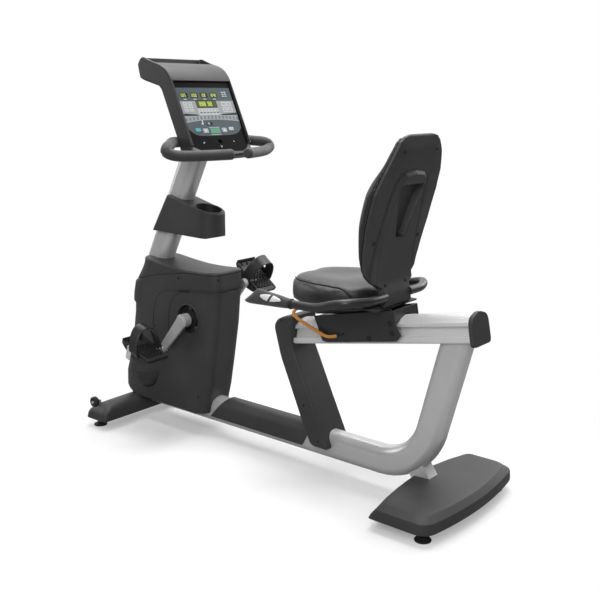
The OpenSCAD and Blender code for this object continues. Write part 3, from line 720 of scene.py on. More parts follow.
SILVER = PowderCoat("silver_paint", (0.68, 0.682, 0.69), 0.33, metal=0.45)
CRANK_PAINT = PowderCoat("crank_paint", (0.56, 0.56, 0.56), 0.38, metal=0.3)
BLACK_PAINT = PowderCoat("black_paint", (0.022, 0.022, 0.024), 0.42, metal=0.0)
ORANGE_PAINT = PowderCoat("orange_paint", (0.72, 0.30, 0.055), 0.40, metal=0.0)
DARK_PLASTIC = Moulded("dark_plastic", (0.042, 0.042, 0.044), 0.50)
CAP_PLASTIC = Moulded("cap_plastic", (0.046, 0.046, 0.048), 0.46)
HOOD_PLASTIC = Moulded("hood_plastic", (0.034, 0.034, 0.035), 0.40, depth=0.00003)
BLACK_PLASTIC = Moulded("black_plastic", (0.018, 0.018, 0.019), 0.46)
PEDAL_PLASTIC = Moulded("pedal_plastic", (0.024, 0.024, 0.025), 0.48, grain=800.0, depth=0.0001)
STRAP_PLASTIC = Moulded("strap_plastic", (0.030, 0.030, 0.031), 0.34, grain=900.0, depth=0.00004)
# Near-black plastic: the own colour of the black screws and the hub dish, and painted shade in the arch grooves, the
# arch slots, the cup well and the wheel notches.
BLACK_AND_SHADE_PLASTIC = Moulded("black_and_shade_plastic", (0.012, 0.012, 0.013), 0.6)
GRIP_FOAM = Foam("grip_foam", (0.040, 0.040, 0.042), 0.62)
BLACK_RUBBER = Foam("black_rubber", (0.014, 0.014, 0.015), 0.7, depth=0.00008, sheen=0.1)
UPHOLSTERY = Leatherette("upholstery", (0.020, 0.020, 0.0215), 0.36)
PIPING = Leatherette("piping", (0.009, 0.009, 0.0095), 0.42, pebble=1200.0)
RAIL_METAL = Metal("rail_metal", (0.80, 0.80, 0.80), 0.42, lines=Grain.ALONG_X, metal=0.35)
PLATE_METAL = Metal("plate_metal", (0.86, 0.86, 0.86), 0.40, metal=0.2)
BRIGHT = Metal("bright_steel", (0.82, 0.82, 0.83), 0.22)
DARK_STEEL = Metal("dark_steel", (0.11, 0.11, 0.114), 0.38, metal=0.6)
FASCIA = Gloss("fascia_black", (0.006, 0.006, 0.007), 0.22, coat=0.0, shine=0.04)
GLOSS_BLACK = Gloss("gloss_black", (0.010, 0.010, 0.011), 0.20, coat=0.2, shine=0.35)


# --- shared stations ---


def tilted(origin: Any, degrees: float, along: Any, y: Any, above: Any) -> Array:
    """Points along and above a side-view line through origin that rises rearwards by an angle.

    Args:
        origin: x and z where the line starts.
        degrees: the angle between the line and the floor.
        along: distance u along the line.
        y: place across the bike.
        above: distance v square to the line.

    Returns:
        The points: x = origin x + u cos - v sin, z = origin z + u sin + v cos.
    """
    c, k = math.cos(math.radians(degrees)), math.sin(math.radians(degrees))
    u, y, v = np.broadcast_arrays(arr(along), arr(y), arr(above))
    return np.stack([origin[0] + u * c - v * k, y, origin[1] + u * k + v * c], -1)


@dataclass(frozen=True)
class Stations:
    """Places shared by several sub-assemblies, in millimetres."""

    base_z: float = 109.0
    tube_w: float = 78.0
    tube_h: float = 104.0
    tube_r: float = 34.0
    bend_x: float = 447.0
    bend_r: float = 200.0
    post_lean: float = 14.6
    mast_foot_x: float = -672.0
    mast_lean: float = 26.9
    mast_bend_r: float = 200.0
    mast_top: tuple[float, float] = (-437.0, 1110.0)
    rail_tilt: float = 10.15
    rail_foot: tuple[float, float] = (89.0, 464.0)
    crank: tuple[float, float] = (-415.0, 478.0)
    crank_len: float = 170.0
    crank_angle: float = 48.6
    pedal_y: float = 198.0
    tilts: tuple[float, float] = (17.0, 38.0)
    face_top: tuple[float, float] = (-399.0, 1376.0)
    face_lean: float = 23.8

    def on_rail(self, s: Any, y: Any, n: Any) -> Array:
        """Points s along the rail, y across and n above its underside."""
        return tilted(self.rail_foot, self.rail_tilt, s, y, n)

    def on_face(self, y: Any, down: Any, out: Any) -> Array:
        """Points y across the console's face, down it, and out of it."""
        return tilted(self.face_top, self.face_lean, out, y, -arr(down))

    def pedal_axis(self, right: bool) -> Array:
        """Side-view centre of a pedal's spindle."""
        a = math.radians(self.crank_angle)
        step = self.crank_len * arr([math.cos(a), math.sin(a)])
        return arr(self.crank) + (step if right else -step)


AT = Stations()


def on(body: str, slot: str, obj: Obj, *nodes: str) -> Obj:
    """Puts a piece on a body, hides the nodes it stands for, and reports it."""
    if nodes:
        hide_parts(*nodes)
    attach(obj, body)
    LOG.info("%s on %s", obj.name, body)
    return obj


def covering(obj: Obj, *nodes: str) -> Obj:
    """Puts a piece of dark plastic on the frame."""
    return on("frame", "grey_plastic", obj, *nodes)


def on_seat(slot: str, obj: Obj, *nodes: str) -> Obj:
    """Puts a piece on the seat's carriage."""
    return on("seat_carriage", slot, obj, *nodes)


def skinned(node: str, body: str, slot: str, finish: Finish, bevel: float, segments: int = 2) -> Obj:
    """A merged copy of a solid's mesh with its flat faces joined and its edges softened, standing for the solid."""
    src = bpy.data.objects[node].data
    bm = bmesh.new()
    bm.from_mesh(src)
    bmesh.ops.remove_doubles(bm, verts=bm.verts, dist=4e-6)
    bmesh.ops.dissolve_limit(bm, angle_limit=math.radians(0.6), verts=bm.verts, edges=bm.edges)
    mesh = bpy.data.meshes.new(node + "_skin")
    bm.to_mesh(mesh)
    bm.free()
    obj = edged(shown(mesh, node + "_skin", [finish], 32), bevel, segments)
    return on(body, slot, obj, node)


def screws(name: str, places: Sequence[tuple[Any, Any]], radius: float, finish: Finish = DARK_STEEL) -> Obj:
    """Socket-head screws: each a low dome with a hexagonal recess.

    Args:
        name: the joined piece's name.
        places: the centre of each head's underside and the way it faces.
        radius: radius of each head.
        finish: finish of the heads.

    Returns:
        One object with all the heads.
    """
    skin = Skin()
    h = 0.38 * radius
    dome = [(radius, -1.5), (radius, h * 0.5), (radius * 0.9, h * 0.85), (radius * 0.72, h), (radius * 0.46, h)]
    for at, axis in places:
        skin.turn(dome, at, axis, 28)
        skin.turn([(radius * 0.45, h + 0.01), (radius * 0.42, h * 0.1)], at, axis, 6)
    return skin.build(name, [finish], 40)


def surface(obj: Obj) -> BVHTree:
    """A search tree of the object's mesh with its modifiers."""
    dg = bpy.context.evaluated_depsgraph_get()
    return BVHTree.FromObject(obj, dg)


# --- frame ---


def seated(tree: BVHTree, guides: Sequence[Any], sink: float = 0.4) -> list[tuple[Array, Array]]:
    """Places on a surface nearest to guide points in mm, each with the way the surface faces there."""
    out = []
    for guide in guides:
        spot, normal, _, _ = tree.find_nearest(Vector(guide) * MM)
        out.append((arr(spot) / MM - arr(normal) * sink, arr(normal)))
    return out


@dataclass
class FrameTubes:
    """Bent tubes of the frame: the base tube with the rear post, and the leaning mast."""

    steps: int = 48
    crossbar_x: float = -745.0
    cut_mast: float = 130.0
    bracket: Pairs = ((-472, 1096), (-400, 1090), (-345, 1098), (-368, 1165), (-410, 1186), (-448, 1150))

    def section(self) -> Array:
        """The tube's rounded section."""
        return rect(AT.tube_w, AT.tube_h, AT.tube_r, 10)

    def rear(self) -> Obj:
        """Base tube, bend and post as one sweep whose last ring lies on the rail's underside."""
        x0, r = AT.bend_x, AT.bend_r
        sweep = math.radians(90 - AT.post_lean)
        t = np.linspace(0, sweep, self.steps)
        arc = np.stack([x0 + r * np.sin(t), np.zeros_like(t), AT.base_z + r * (1 - np.cos(t))], 1)
        line = np.stack([np.linspace(self.crossbar_x, x0, 30)[:-1], np.zeros(29), np.full(29, AT.base_z)], 1)
        way = arr([math.sin(math.radians(AT.post_lean)), 0, math.cos(math.radians(AT.post_lean))])
        post = arc[-1] + way * np.linspace(0, 140, 12)[1:, None]
        grid = carried(np.vstack([line, arc, post]), self.section())
        normal = arr([-math.sin(math.radians(AT.rail_tilt)), 0, math.cos(math.radians(AT.rail_tilt))])
        foot = arr([AT.rail_foot[0], 0, AT.rail_foot[1]]) - normal * 0.2
        gap = ((foot - grid[-1]) @ normal) / (way @ normal)
        grid = np.concatenate([grid, (grid[-1] + gap[:, None] * way)[None]])
        return wrapped("rear_frame_tube", grid, SILVER, 50)

    def mast(self) -> Obj:
        """Mast from the base tube up its bend to the console, with the bracket's two plates."""
        lean = math.radians(AT.mast_lean)
        top = arr([AT.mast_top[0], 0, AT.mast_top[1]])
        knee_z = top[2] - (top[0] - AT.mast_foot_x) / math.tan(lean)
        z0 = knee_z - AT.mast_bend_r * math.tan(lean / 2)
        t = np.linspace(0, lean, self.steps // 2)
        r = AT.mast_bend_r
        arc = np.stack([AT.mast_foot_x + r * (1 - np.cos(t)), np.zeros_like(t), z0 + r * np.sin(t)], 1)
        low = arr([[AT.mast_foot_x, 0, z] for z in np.linspace(self.cut_mast, z0, 8)[:-1]])
        high = arc[-1] + (top - arc[-1]) * np.linspace(0, 1, 16)[1:, None]
        skin = Skin()
        skin.tube(carried(np.vstack([low, arc, high]), self.section()))
        for side in SIDES:
            skin.tube(slab_points(rounded(self.bracket, 8, 3), *sorted((side * 30.0, side * 36.0)), 1, 2))
        return skin.build("mast_tube", [SILVER], 50)

    def build(self) -> None:
        """Makes the tubes and dresses the small frame solids."""
        on("frame", "silver_paint", self.rear(), "base_tube", "rear_post")
        on("frame", "silver_paint", self.mast(), "mast")
        for node in ("front_crossbar", "rear_crossbar", "strut_post", "rear_stub"):
            skinned(node, "frame", "silver_paint", SILVER, 1.5)


@dataclass
class SeatRail:
    """Drawn rail with its end cap."""

    length: float = 718.0

    def cap(self) -> Obj:
        """End cap: the rail's outline with a domed top, leaning back, with rounded rims."""
        s0 = self.length - 4
        corners = [(-54, -14), (54, -14), (54, 18), (52, 66), (40, 82), (0, 95), (-40, 82), (-52, 66), (-54, 18)]
        loop = counter_clockwise(rounded(corners, 16, 5))
        rows = []
        for ds, d in ((0, 1.5), (1.0, 0.4), (3, 0), (13, 0), (15, 0.6), (16, 2.5)):
            p = inset(loop, d)
            rows.append(AT.on_rail(s0 + ds, p[:, 0], p[:, 1]))
        return wrapped("rail_cap_shell", np.stack(rows), CAP_PLASTIC)

    def build(self) -> None:
        """Dresses the rail and makes its cap."""
        skinned("seat_rail", "frame", "rail_aluminium", RAIL_METAL, 0.6)
        on("frame", "cap_plastic", self.cap(), "rail_end_cap")


# --- drive cover ---


@dataclass(frozen=True)
class CoverRow:
    """A row of the drive cover: height for a given x, inset, how far y stays from the middle, share of the recess."""

    height: Callable[[Array], Array]
    depth: float = 0.0
    close: float = 1.0
    strip: float = 0.0


@dataclass
class Shroud:
    """Drive cover: a body, a lid with a shadow line under it, and two nested arch lines round the crank."""

    half: float = 83.0
    flat: float = 42.0
    pull_front: float = 62.0
    pull_rear: float = 46.0
    floor: float = 97.0
    rim: float = 6.5
    front: Pairs = (
        (97, -796), (106, -806), (118, -822), (131, -829), (193, -826), (280, -796), (360, -775), (463, -757),
        (494, -755), (499, -757), (504, -766), (540, -762), (586, -750), (592, -746), (600, -734), (640, -706),
        (672, -687), (700, -682))
    rear: Pairs = (
        (97, -350), (121, -345), (199, -324), (318, -302), (463, -277), (575, -266), (620, -259), (663, -261),
        (700, -268))
    lid_line: Pairs = (
        (-790, 586), (-735, 596), (-686, 608), (-631, 623), (-560, 638), (-431, 659), (-330, 664), (-240, 666))
    top_line: Pairs = (
        (-720, 697), (-672, 696), (-619, 690), (-540, 680), (-480, 674), (-431, 671.5), (-350, 672), (-240, 679))
    arch_out: Pairs = (
        (-548, 574), (-572, 562), (-590, 544), (-604, 518), (-614, 485), (-621, 440), (-624, 390), (-624, 310))
    arch_in: Pairs = (
        (-462, 576), (-480, 569), (-498, 554), (-513, 525), (-524, 495), (-530, 450), (-532, 410), (-532, 310))
    strip_low: Pairs = (
        (-860, 470), (-720, 512), (-620, 545), (-540, 564), (-474, 575), (-434, 582), (-336, 592), (-200, 599))
    strip_high: Pairs = (
        (-860, 500), (-720, 535), (-640, 553), (-560, 571), (-513, 580), (-434, 592), (-336, 602), (-200, 610))
    opening: float = 57.0
    dish: Pairs = ((56.6, -2), (56.6, 3), (50, 3), (46, 0.5), (34, 0.5), (31, 6), (25, 8), (14, 8))
    bolt: Pairs = ((7.5, 0), (7.5, 5.4), (6.4, 6.4), (3.4, 6.4), (3.4, 2.4))
    lip: Pairs = ((56.4, -16), (56.4, 2.2), (57.4, 3.4), (59.4, 3.8), (61.6, 3.0), (63.2, 0.2), (63.2, -2))

    def columns(self) -> tuple[Array, Array, Array, Array]:
        """Weights round the plan: share of the rear line, share of the front line, offset in x, and y."""
        a = np.linspace(0, QUARTER, 13)
        n_flat = np.linspace(0, self.flat, 8)[:-1]
        t = np.linspace(0, 1, 160)[1:-1]
        wf = np.concatenate([0 * n_flat, 0 * a, t, 0 * a + 1, 0 * n_flat + 1])
        dx = np.concatenate([0 * n_flat, -self.pull_rear * (1 - np.cos(a)),
            -self.pull_rear * (1 - t) + self.pull_front * t,
                             self.pull_front * (1 - np.sin(a)), 0 * n_flat])
        y = np.concatenate([n_flat, self.flat + (self.half - self.flat) * np.sin(a), 0 * t + self.half,
                            self.flat + (self.half - self.flat) * np.cos(a), n_flat[::-1]])
        back = slice(-2, 0, -1)
        wf, dx, y = (np.concatenate([v, s * v[back]]) for v, s in ((wf, 1), (dx, 1), (y, -1)))
        return 1 - wf, wf, dx, y

    def rows(self) -> list[CoverRow]:
        """Rows from the floor over the arch lines' strip and the lid's shadow line to the middle of the top."""
        line = lambda table: (lambda x: np.interp(x, *smooth(table, 6).T))  # noqa: E731
        lid, top, low, high = (line(t) for t in (self.lid_line, self.top_line, self.strip_low, self.strip_high))

        def near(edge: Callable[[Array], Array], *steps: tuple[float, float]) -> list[CoverRow]:
            """Rows a step above a line, each with its inset."""
            return [CoverRow(lambda x, up=up: edge(x) + up, depth) for up, depth in steps]

        def spread(start: Callable[[Array], Array], end: Callable[[Array], Array], shares: Any,
                **more: float) -> list[CoverRow]:
            """Rows at shares of the way from one line to another."""
            return [CoverRow(lambda x, t=t: start(x) + (end(x) - start(x)) * t, **more) for t in shares]

        out = near(lambda x: 0 * x + self.floor, (0.0, 3.0), (0.6, 1.0))
        out += spread(lambda x: self.floor + 2, lambda x: low(x) - 1.2, np.linspace(0, 1, 110)[:-1])
        out += near(low, (-0.8, 0.0), (-0.3, 0.5))
        out += spread(low, high, np.linspace(0, 1, 5), strip=1.0)
        out += near(high, (0.3, 0.5), (0.8, 0.0))
        out += spread(lambda x: high(x) + 0.8, lambda x: lid(x) - 1.6, np.linspace(0, 1, 18)[1:-1])
        out += near(lid, (-1.3, 0.2), (-0.9, 2.4), (0.7, 2.4), (1.1, -0.3), (1.8, -0.9))
        wall = lambda x: np.maximum(top(x) - self.rim, lid(x) + 2.2)  # noqa: E731
        out += spread(lambda x: lid(x) + 1.8, wall, np.linspace(0, 1, 8)[1:-1], depth=-0.9)
        for a in np.linspace(0, QUARTER, 8):
            out += near(top, (-self.rim * (1 - math.sin(a)), self.rim * (1 - math.cos(a)) - 0.9))
        for t in np.linspace(1, 0, 13)[1:]:
            out.append(CoverRow(lambda x, t=t: top(x) + 2.0 * (1 - t * t), self.rim + 40 * (1 - t), t))
        return out

    def shell(self) -> Obj:
        """The whole cover as one grid: plan columns by height rows, x and z solved together in five rounds."""
        wr, wf, dx, y = self.columns()
        rows = self.rows()
        fz, fx = zip(*self.front)
        rz, rx = zip(*self.rear)
        grid = np.zeros((len(rows), len(y), 3))
        turn = np.clip((np.abs(y) - self.flat) / (self.half - self.flat), 0, 1)
        for i, row in enumerate(rows):
            x = np.linspace(-300, -700, len(y))
            for _ in range(5):
                z = row.height(x)
                x = wr * (np.interp(z, rz, rx) - row.depth) + wf * (np.interp(z, fz, fx) + row.depth) + dx
            less = row.depth if row.close == 1 else self.rim
            yy = y * (self.half - less) / self.half * row.close
            cut = row.strip * (3.2 * ramp(x, -560, -440) + 1.6 * ramp(x, -420, -310))
            yy = yy - np.sign(yy) * cut * turn
            x = x - cut * (1 - turn) * (wr > 0.9)
            grid[i] = np.stack([x, yy, z], 1)
        skin = Skin()
        index = skin.grid(grid, wrap_v=True)
        skin.cap(index[0])
        return skin.build("shroud_shell", [DARK_PLASTIC], 28)

    def arches(self) -> Obj:
        """The two arch lines where they run down the sides, as fine dark lines that fade out: painted shade standing in
        for the grooves.
        """
        skin = Skin()
        for knots in (self.arch_out, self.arch_in):
            p = even(smooth(knots, 8), 60)
            for side in SIDES:
                path = np.insert(p, 1, side * (self.half - 0.2), axis=1)
                scale = np.minimum(1, np.minimum(ramp(p[:, 1], 300, 400), ramp(-p[:, 0], -1e3, 0)) + 0.05)
                skin.tube(carried(path, circle(1.25, 8), (0, 1, 0), scale))
        return skin.build("arch_grooves", [BLACK_AND_SHADE_PLASTIC], 60)

    def nose_patches(self, shell: Obj) -> Obj:
        """A dark glossy half-ellipse low on each front corner, laid over the shell: a painted shadow on the cover's
        lower front.
        """
        tree = surface(shell)
        skin = Skin()
        for side in SIDES:
            th = np.linspace(math.pi, 2 * math.pi, 25)
            r = np.linspace(0, 1, 8)
            x = -668 + 78 * r[:, None] * np.cos(th)
            z = 214 + 72 * r[:, None] * np.sin(th) + 0.20 * (x + 668)
            guide = np.stack([x, side * 84.0 + 0 * x, z], -1).reshape(-1, 3)
            out = []
            for k, q in enumerate(guide):
                spot, normal, _, _ = tree.ray_cast(Vector((q[0], side * 200.0, q[2])) * MM, Vector((0, -side, 0)))
                lift = 0.7 if k < 7 * 25 else -0.8
                out.append(q if spot is None else (arr(spot) / MM + arr(normal) * lift))
            skin.grid(arr(out).reshape(8, 25, 3))
        return skin.build("nose_patches", [GLOSS_BLACK], 60)

    def hub_dish(self, side: int) -> Obj:
        """Dish inside the crank opening: a collar, a recessed face and five bolts."""
        c = (AT.crank[0], side * 64.0, AT.crank[1])
        axis = (0, side, 0)
        skin = Skin()
        skin.turn(self.dish, c, axis, 64)
        for k in range(5):
            a = math.radians(72 * k + 20)
            at = (AT.crank[0] + 42 * math.cos(a), side * 64.5, AT.crank[1] + 42 * math.sin(a))
            skin.turn(self.bolt, at, axis, 24, 1)
        return skin.build(f"hub_dish_{side_name(side)}", [BLACK_AND_SHADE_PLASTIC, DARK_STEEL], 40)

    def ring(self, side: int) -> Obj:
        """Raised lip round the crank opening."""
        skin = Skin()
        grid = placed(lathe(self.lip, 72), (AT.crank[0], side * self.half, AT.crank[1]), (0, side, 0))
        skin.grid(grid, wrap_u=True, wrap_v=True)
        return skin.build(f"hub_ring_{side_name(side)}", [DARK_PLASTIC], 40)

    def vent(self, side: int) -> Obj:
        """Half-round recess under the arch line, as a shallow dished lens in near-black plastic: painted shade standing
        in for the dark inside of the slot.
        """
        t = np.linspace(0, math.pi, 24)
        u = np.linspace(0, 1, 6)[:, None]
        x = -438 + 30 * u * np.cos(t)
        z = 583 + 0.06 * (x + 438) + 11 * u * np.sin(t) - 1
        yy = self.half + 0.5 - 0.4 * (1 - u**2) + 0 * x
        skin = Skin()
        front = np.stack([x, side * yy, z], -1)
        skin.grid(front)
        skin.grid(front - [0, side * 3.0, 0])
        rim = np.stack([front[-1], front[-1] - [0, side * 3.0, 0]])
        skin.grid(rim)
        return skin.build(f"arch_vent_{side_name(side)}", [BLACK_AND_SHADE_PLASTIC], 40)

    def build(self) -> None:
        """Makes the cover and what is set in it."""
        shell = self.shell()
        cutters = []
        for side in SIDES:
            bore = [(self.opening - 1, -21), (self.opening - 1, 30)]
            centre = (AT.crank[0], side * self.half, AT.crank[1])
            cutters.append(turned("cut", bore, centre, (0, side, 0), DARK_PLASTIC, 72))
        patches = self.nose_patches(shell)
        guides = [(x, side * y, z) for x, y, z in ((-465, 84, 636), (-262, 66, 650)) for side in SIDES]
        places = seated(surface(shell), guides)
        covering(screws("lid_screws", places, 6.0, BLACK_AND_SHADE_PLASTIC))
        carve(shell, *cutters, angle=28)
        covering(shell, "shroud_left", "shroud_right", "shroud_cap")
        covering(self.arches())
        covering(patches)
        for side in SIDES:
            covering(self.hub_dish(side))
            covering(self.ring(side))
            covering(self.vent(side))


# --- cup holder ---


@dataclass
class CupHolder:
    """Collar on the mast with a well for a cup: a plan with a round nose, cut by a sloping top."""

    half: float = 59.0
    nose_x: float = -368.0
    back_x: float = -639.0
    well: float = 51.5

    def body(self) -> Obj:
        """Plan outline lifted from the bottom line to the sloping top; the mast side leans with the mast."""
        t = np.linspace(-QUARTER, QUARTER, 41)
        nose = np.stack([self.nose_x + self.half * np.cos(t), self.half * np.sin(t)], 1)
        side = np.stack([np.linspace(self.nose_x, self.back_x + 14, 40)[1:], np.full(39, self.half)], 1)
        a = np.linspace(0, QUARTER, 7)[1:]
        corner = np.stack([self.back_x + 14 - 14 * np.sin(a), self.half - 14 + 14 * np.cos(a)], 1)
        across = np.stack([np.full(9, self.back_x), np.linspace(self.half - 14, 0, 10)[1:]], 1)
        upper = np.vstack([side, corner, across])
        loop = counter_clockwise(np.vstack([nose, upper, (upper * [1, -1])[::-1][1:]]))
        lean = math.tan(math.radians(AT.mast_lean)) * 1.24
        rows = []
        r = 5.0
        levels = [(0.0, 4.0), (0.004, 1.4), (0.02, 0.0)] + [(t, 0.0) for t in np.linspace(0.06, 0.955, 14)]
        levels += [(1 - r * (1 - math.sin(a)) / 120, r * (1 - math.cos(a))) for a in np.linspace(0.2, QUARTER, 6)]
        for share, depth in levels:
            p = inset(loop, depth)
            x = p[:, 0]
            low = np.interp(x, [-639, -342, -308], [805, 797, 804])
            back = 1 - ramp(x, -600, -420)
            moved = x
            for _ in range(6):
                z = low + (887 - 0.266 * (moved + 300) - low) * share
                moved = x + (z - 805) * lean * back
            rows.append(np.stack([moved, p[:, 1], z], 1))
        return wrapped("cup_holder_body", np.stack(rows), DARK_PLASTIC, 30)

    def build(self) -> None:
        """Makes the body, its well, and the well's rim."""
        bore = [(self.well - 8, 0), (self.well - 6, 4), (self.well, 140)]
        # The cutter's near-black plastic passes to the well's wall and floor: painted shade inside the well.
        cutter = turned("cut", bore, (self.nose_x - 4, 0, 820), (0, 0, 1), BLACK_AND_SHADE_PLASTIC, 72)
        body = carve(self.body(), cutter, angle=30)
        covering(body, "cup_holder")
        slope = math.atan(0.266)
        t = np.linspace(0, 2 * math.pi, 72, endpoint=False)
        x = self.nose_x - 4 + (self.well + 1.5) * np.cos(t)
        path = np.stack([x, (self.well + 1.5) * np.sin(t), 887.4 - (x + 300) * math.tan(slope)], 1)
        way = unit(np.roll(path, -1, 0) - np.roll(path, 1, 0))
        side = np.cross(way, [math.sin(slope), 0, math.cos(slope)])
        ring = circle(2.6, 12) * [1.25, 0.8]
        grid = path[:, None] + ring[None, :, :1] * side[:, None] + ring[None, :,
            1:] * arr([math.sin(slope), 0, math.cos(slope)])
        skin = Skin()
        skin.grid(grid, wrap_u=True, wrap_v=True)
        covering(skin.build("cup_rim", [DARK_PLASTIC]))


# --- console ---


@dataclass
class Console:
    """Leaning console: a housing with a rolled hood and a tray, a glossy fascia, and a printed screen with keys."""

    half: float = 156.0
    key_gap: float = 0.6
    profile: Pairs = (
        (-571, 1439), (-560, 1390), (-539, 1381), (-458, 1360), (-446, 1348), (-369, 1174), (-345, 1108), (-332, 1097),
        (-262, 1097), (-238, 1110), (-240, 1122), (-286, 1147), (-389, 1376), (-396, 1390), (-406, 1404), (-418, 1417),
        (-432, 1427), (-450, 1435), (-470, 1441), (-500, 1449), (-537, 1463), (-548, 1464), (-560, 1456))
    lip: Pairs = ((0, -233), (30, -237), (70, -248), (118, -260), (160, -278))
    tray: Pairs = ((-482, 1520), (-478, 1412), (-490, 1406), (-538, 1404), (-547, 1412), (-557, 1520))

    def housing(self) -> Obj:
        """Profile carried across with rounded sides; the lower lip's reach shrinks towards the sides."""
        soft = rounded(self.profile, 7, 4)
        grid = slab_points(soft, -self.half, self.half, 7, 5)
        n = 26
        mid = grid[5] + (grid[6] - grid[5]) * np.linspace(0, 1, n)[:, None, None]
        grid = np.concatenate([grid[:5], mid, grid[7:]])
        reach = np.interp(np.abs(grid[..., 1]), *zip(*self.lip))
        low = grid[..., 2] < 1150
        x = grid[..., 0]
        grid[..., 0] = np.where(low & (x > -310), -310 + (x + 310) * (reach + 310) / 75.0, x)
        skin = Skin()
        skin.tube(grid)
        body = skin.build("console_shell", [HOOD_PLASTIC], 30)
        cut = slab("cut", rounded(self.tray, 6, 4), -self.half + 11, self.half - 11, 8, HOOD_PLASTIC, 5)
        pocket = self.plate("cut2", self.face_outline(0.4), -11.4, 60, DARK_PLASTIC, 0.0)
        return carve(body, cut, pocket, angle=30)

    def plate(self, name: str, outline: Array, low: float, high: float, finish: Finish, rim: float = 0.5) -> Obj:
        """A plate on the console's face from an outline of (across, down), with a small rounded upper rim."""
        loop = counter_clockwise(outline)
        rows = [AT.on_face(loop[:, 0], loop[:, 1], low)]
        for a in np.linspace(0, QUARTER, 4 if rim else 1):
            p = inset(loop, rim * (1 - math.cos(a)))
            rows.append(AT.on_face(p[:, 0], p[:, 1], high - rim * (1 - math.sin(a))))
        return wrapped(name, np.stack(rows), finish, 30)

    def face_outline(self, grow: float = 0.0) -> Array:
        """The fascia: straight top and sides, and a lower edge that bows down."""
        t = np.linspace(1, -1, 25)
        across = np.sign(t) * np.abs(t) ** 0.6 * 148.0
        low = np.stack([across, 288 - 44 * np.abs(t) ** 2.4], 1)
        loop = np.vstack([[[-148.0, 0.0], [148.0, 0.0]], low])
        return inset(counter_clockwise(loop), -grow)

    def screen_outline(self) -> Array:
        """The printed screen: straight top and sides and a bowed lower edge with round corners."""
        t = np.linspace(1, -1, 21)
        low = np.stack([138 * np.sign(t) * np.abs(t) ** 0.55, 212 - 30 * np.abs(t) ** 3.2], 1)
        return np.vstack([[[-139.0, 24.0], [138.0, 24.0]], low])

    def box(self, y0: float, y1: float, d0: float, d1: float, radius: float = 1.5) -> Array:
        """Outline of a rounded rectangle on the face."""
        return rect(y1 - y0, d1 - d0, min(radius, (y1 - y0) / 2.1, (d1 - d0) / 2.1), 4) + [(y0 + y1) / 2, (d0 + d1) / 2]

    def prints(self, name: str, outlines: Sequence[Array], finish: Finish, level: float) -> Obj:
        """Thin printed areas at a level above the film."""
        skin = Skin()
        for o in outlines:
            loop = counter_clockwise(o)
            skin.tube(np.stack([AT.on_face(loop[:, 0], loop[:, 1], z) for z in (level - 0.25, level)]))
        return skin.build(name, [finish], 30)

    def segments(self, digits: str, y: float, down: float, high: float) -> list[Array]:
        """Seven-segment figures as bars.

        Args:
            digits: figures, with a space for a gap.
            y: where the first figure starts.
            down: top of the figures.
            high: their height.

        Returns:
            The bars' outlines.
        """
        lit = dict(zip("0123456789", "abcdef bc abged abgcd fgbc afgcd afgedc abc abcdefg abcdfg".split()))
        wide, bar = high * 0.5, high * 0.13
        half = high / 2
        spots = {"a": (0, 0, wide, bar), "d": (0, high - bar, wide, high), "f": (0, 0, bar, half),
                 "e": (0, half, bar, high), "b": (wide - bar, 0, wide, half), "c": (wide - bar, half, wide, high),
                 "g": (0, half - bar / 2, wide, half + bar / 2)}
        out = []
        for k, figure in enumerate(digits):
            for s in lit.get(figure, ""):
                x0, d0, x1, d1 = spots[s]
                at = y + k * high * 0.68
                out.append(self.box(at + x0, at + x1, down + d0, down + d1, 0.2))
        return out

    def keys(self) -> list[tuple[str, float, float, float, float, Finish]]:
        """Name, place down, place across, size down, size across and finish of each press key."""
        grey = Gloss("key_grey", (0.30, 0.31, 0.32), 0.35, 0.2)
        return [("start", 194, -7, 22, 50, Gloss("key_green", (0.02, 0.20, 0.11), 0.3, 0.2)),
                ("down", 192, -55, 18, 26, grey), ("up", 192, 42, 18, 26, grey),
                ("mode", 188, -92, 14, 26, Gloss("key_teal", (0.03, 0.25, 0.27), 0.3, 0.2)),
                ("stop", 188, 80, 14, 26, Gloss("key_pale", (0.36, 0.38, 0.39), 0.35, 0.2))]

    def build_keys(self) -> None:
        """Each key as a crowned cap; the up and down keys also get an arrow mark."""
        slots = {"start": "key_green", "mode": "key_teal"}
        marks = Ink("key_mark", (0.75, 0.77, 0.78), 0.4)
        for name, down, y, high, wide, finish in self.keys():
            outline = self.box(y - wide / 2, y + wide / 2, down - high / 2, down + high / 2, 3)
            cap = self.plate(f"key_{name}_cap", outline, -5.8, 1.5, finish, 0.9)
            body = f"key_{name}_body"
            on(body, slots.get(name, "key_grey"), cap, f"key_{name}")
            if name in ("up", "down"):
                k = 1 if name == "up" else -1
                arrow = arr([(y - 5, down + 3 * k), (y + 5, down + 3 * k), (y, down - 4 * k)])
                on(body, "key_grey", self.prints(f"key_{name}_mark", [arrow], marks, 1.62))

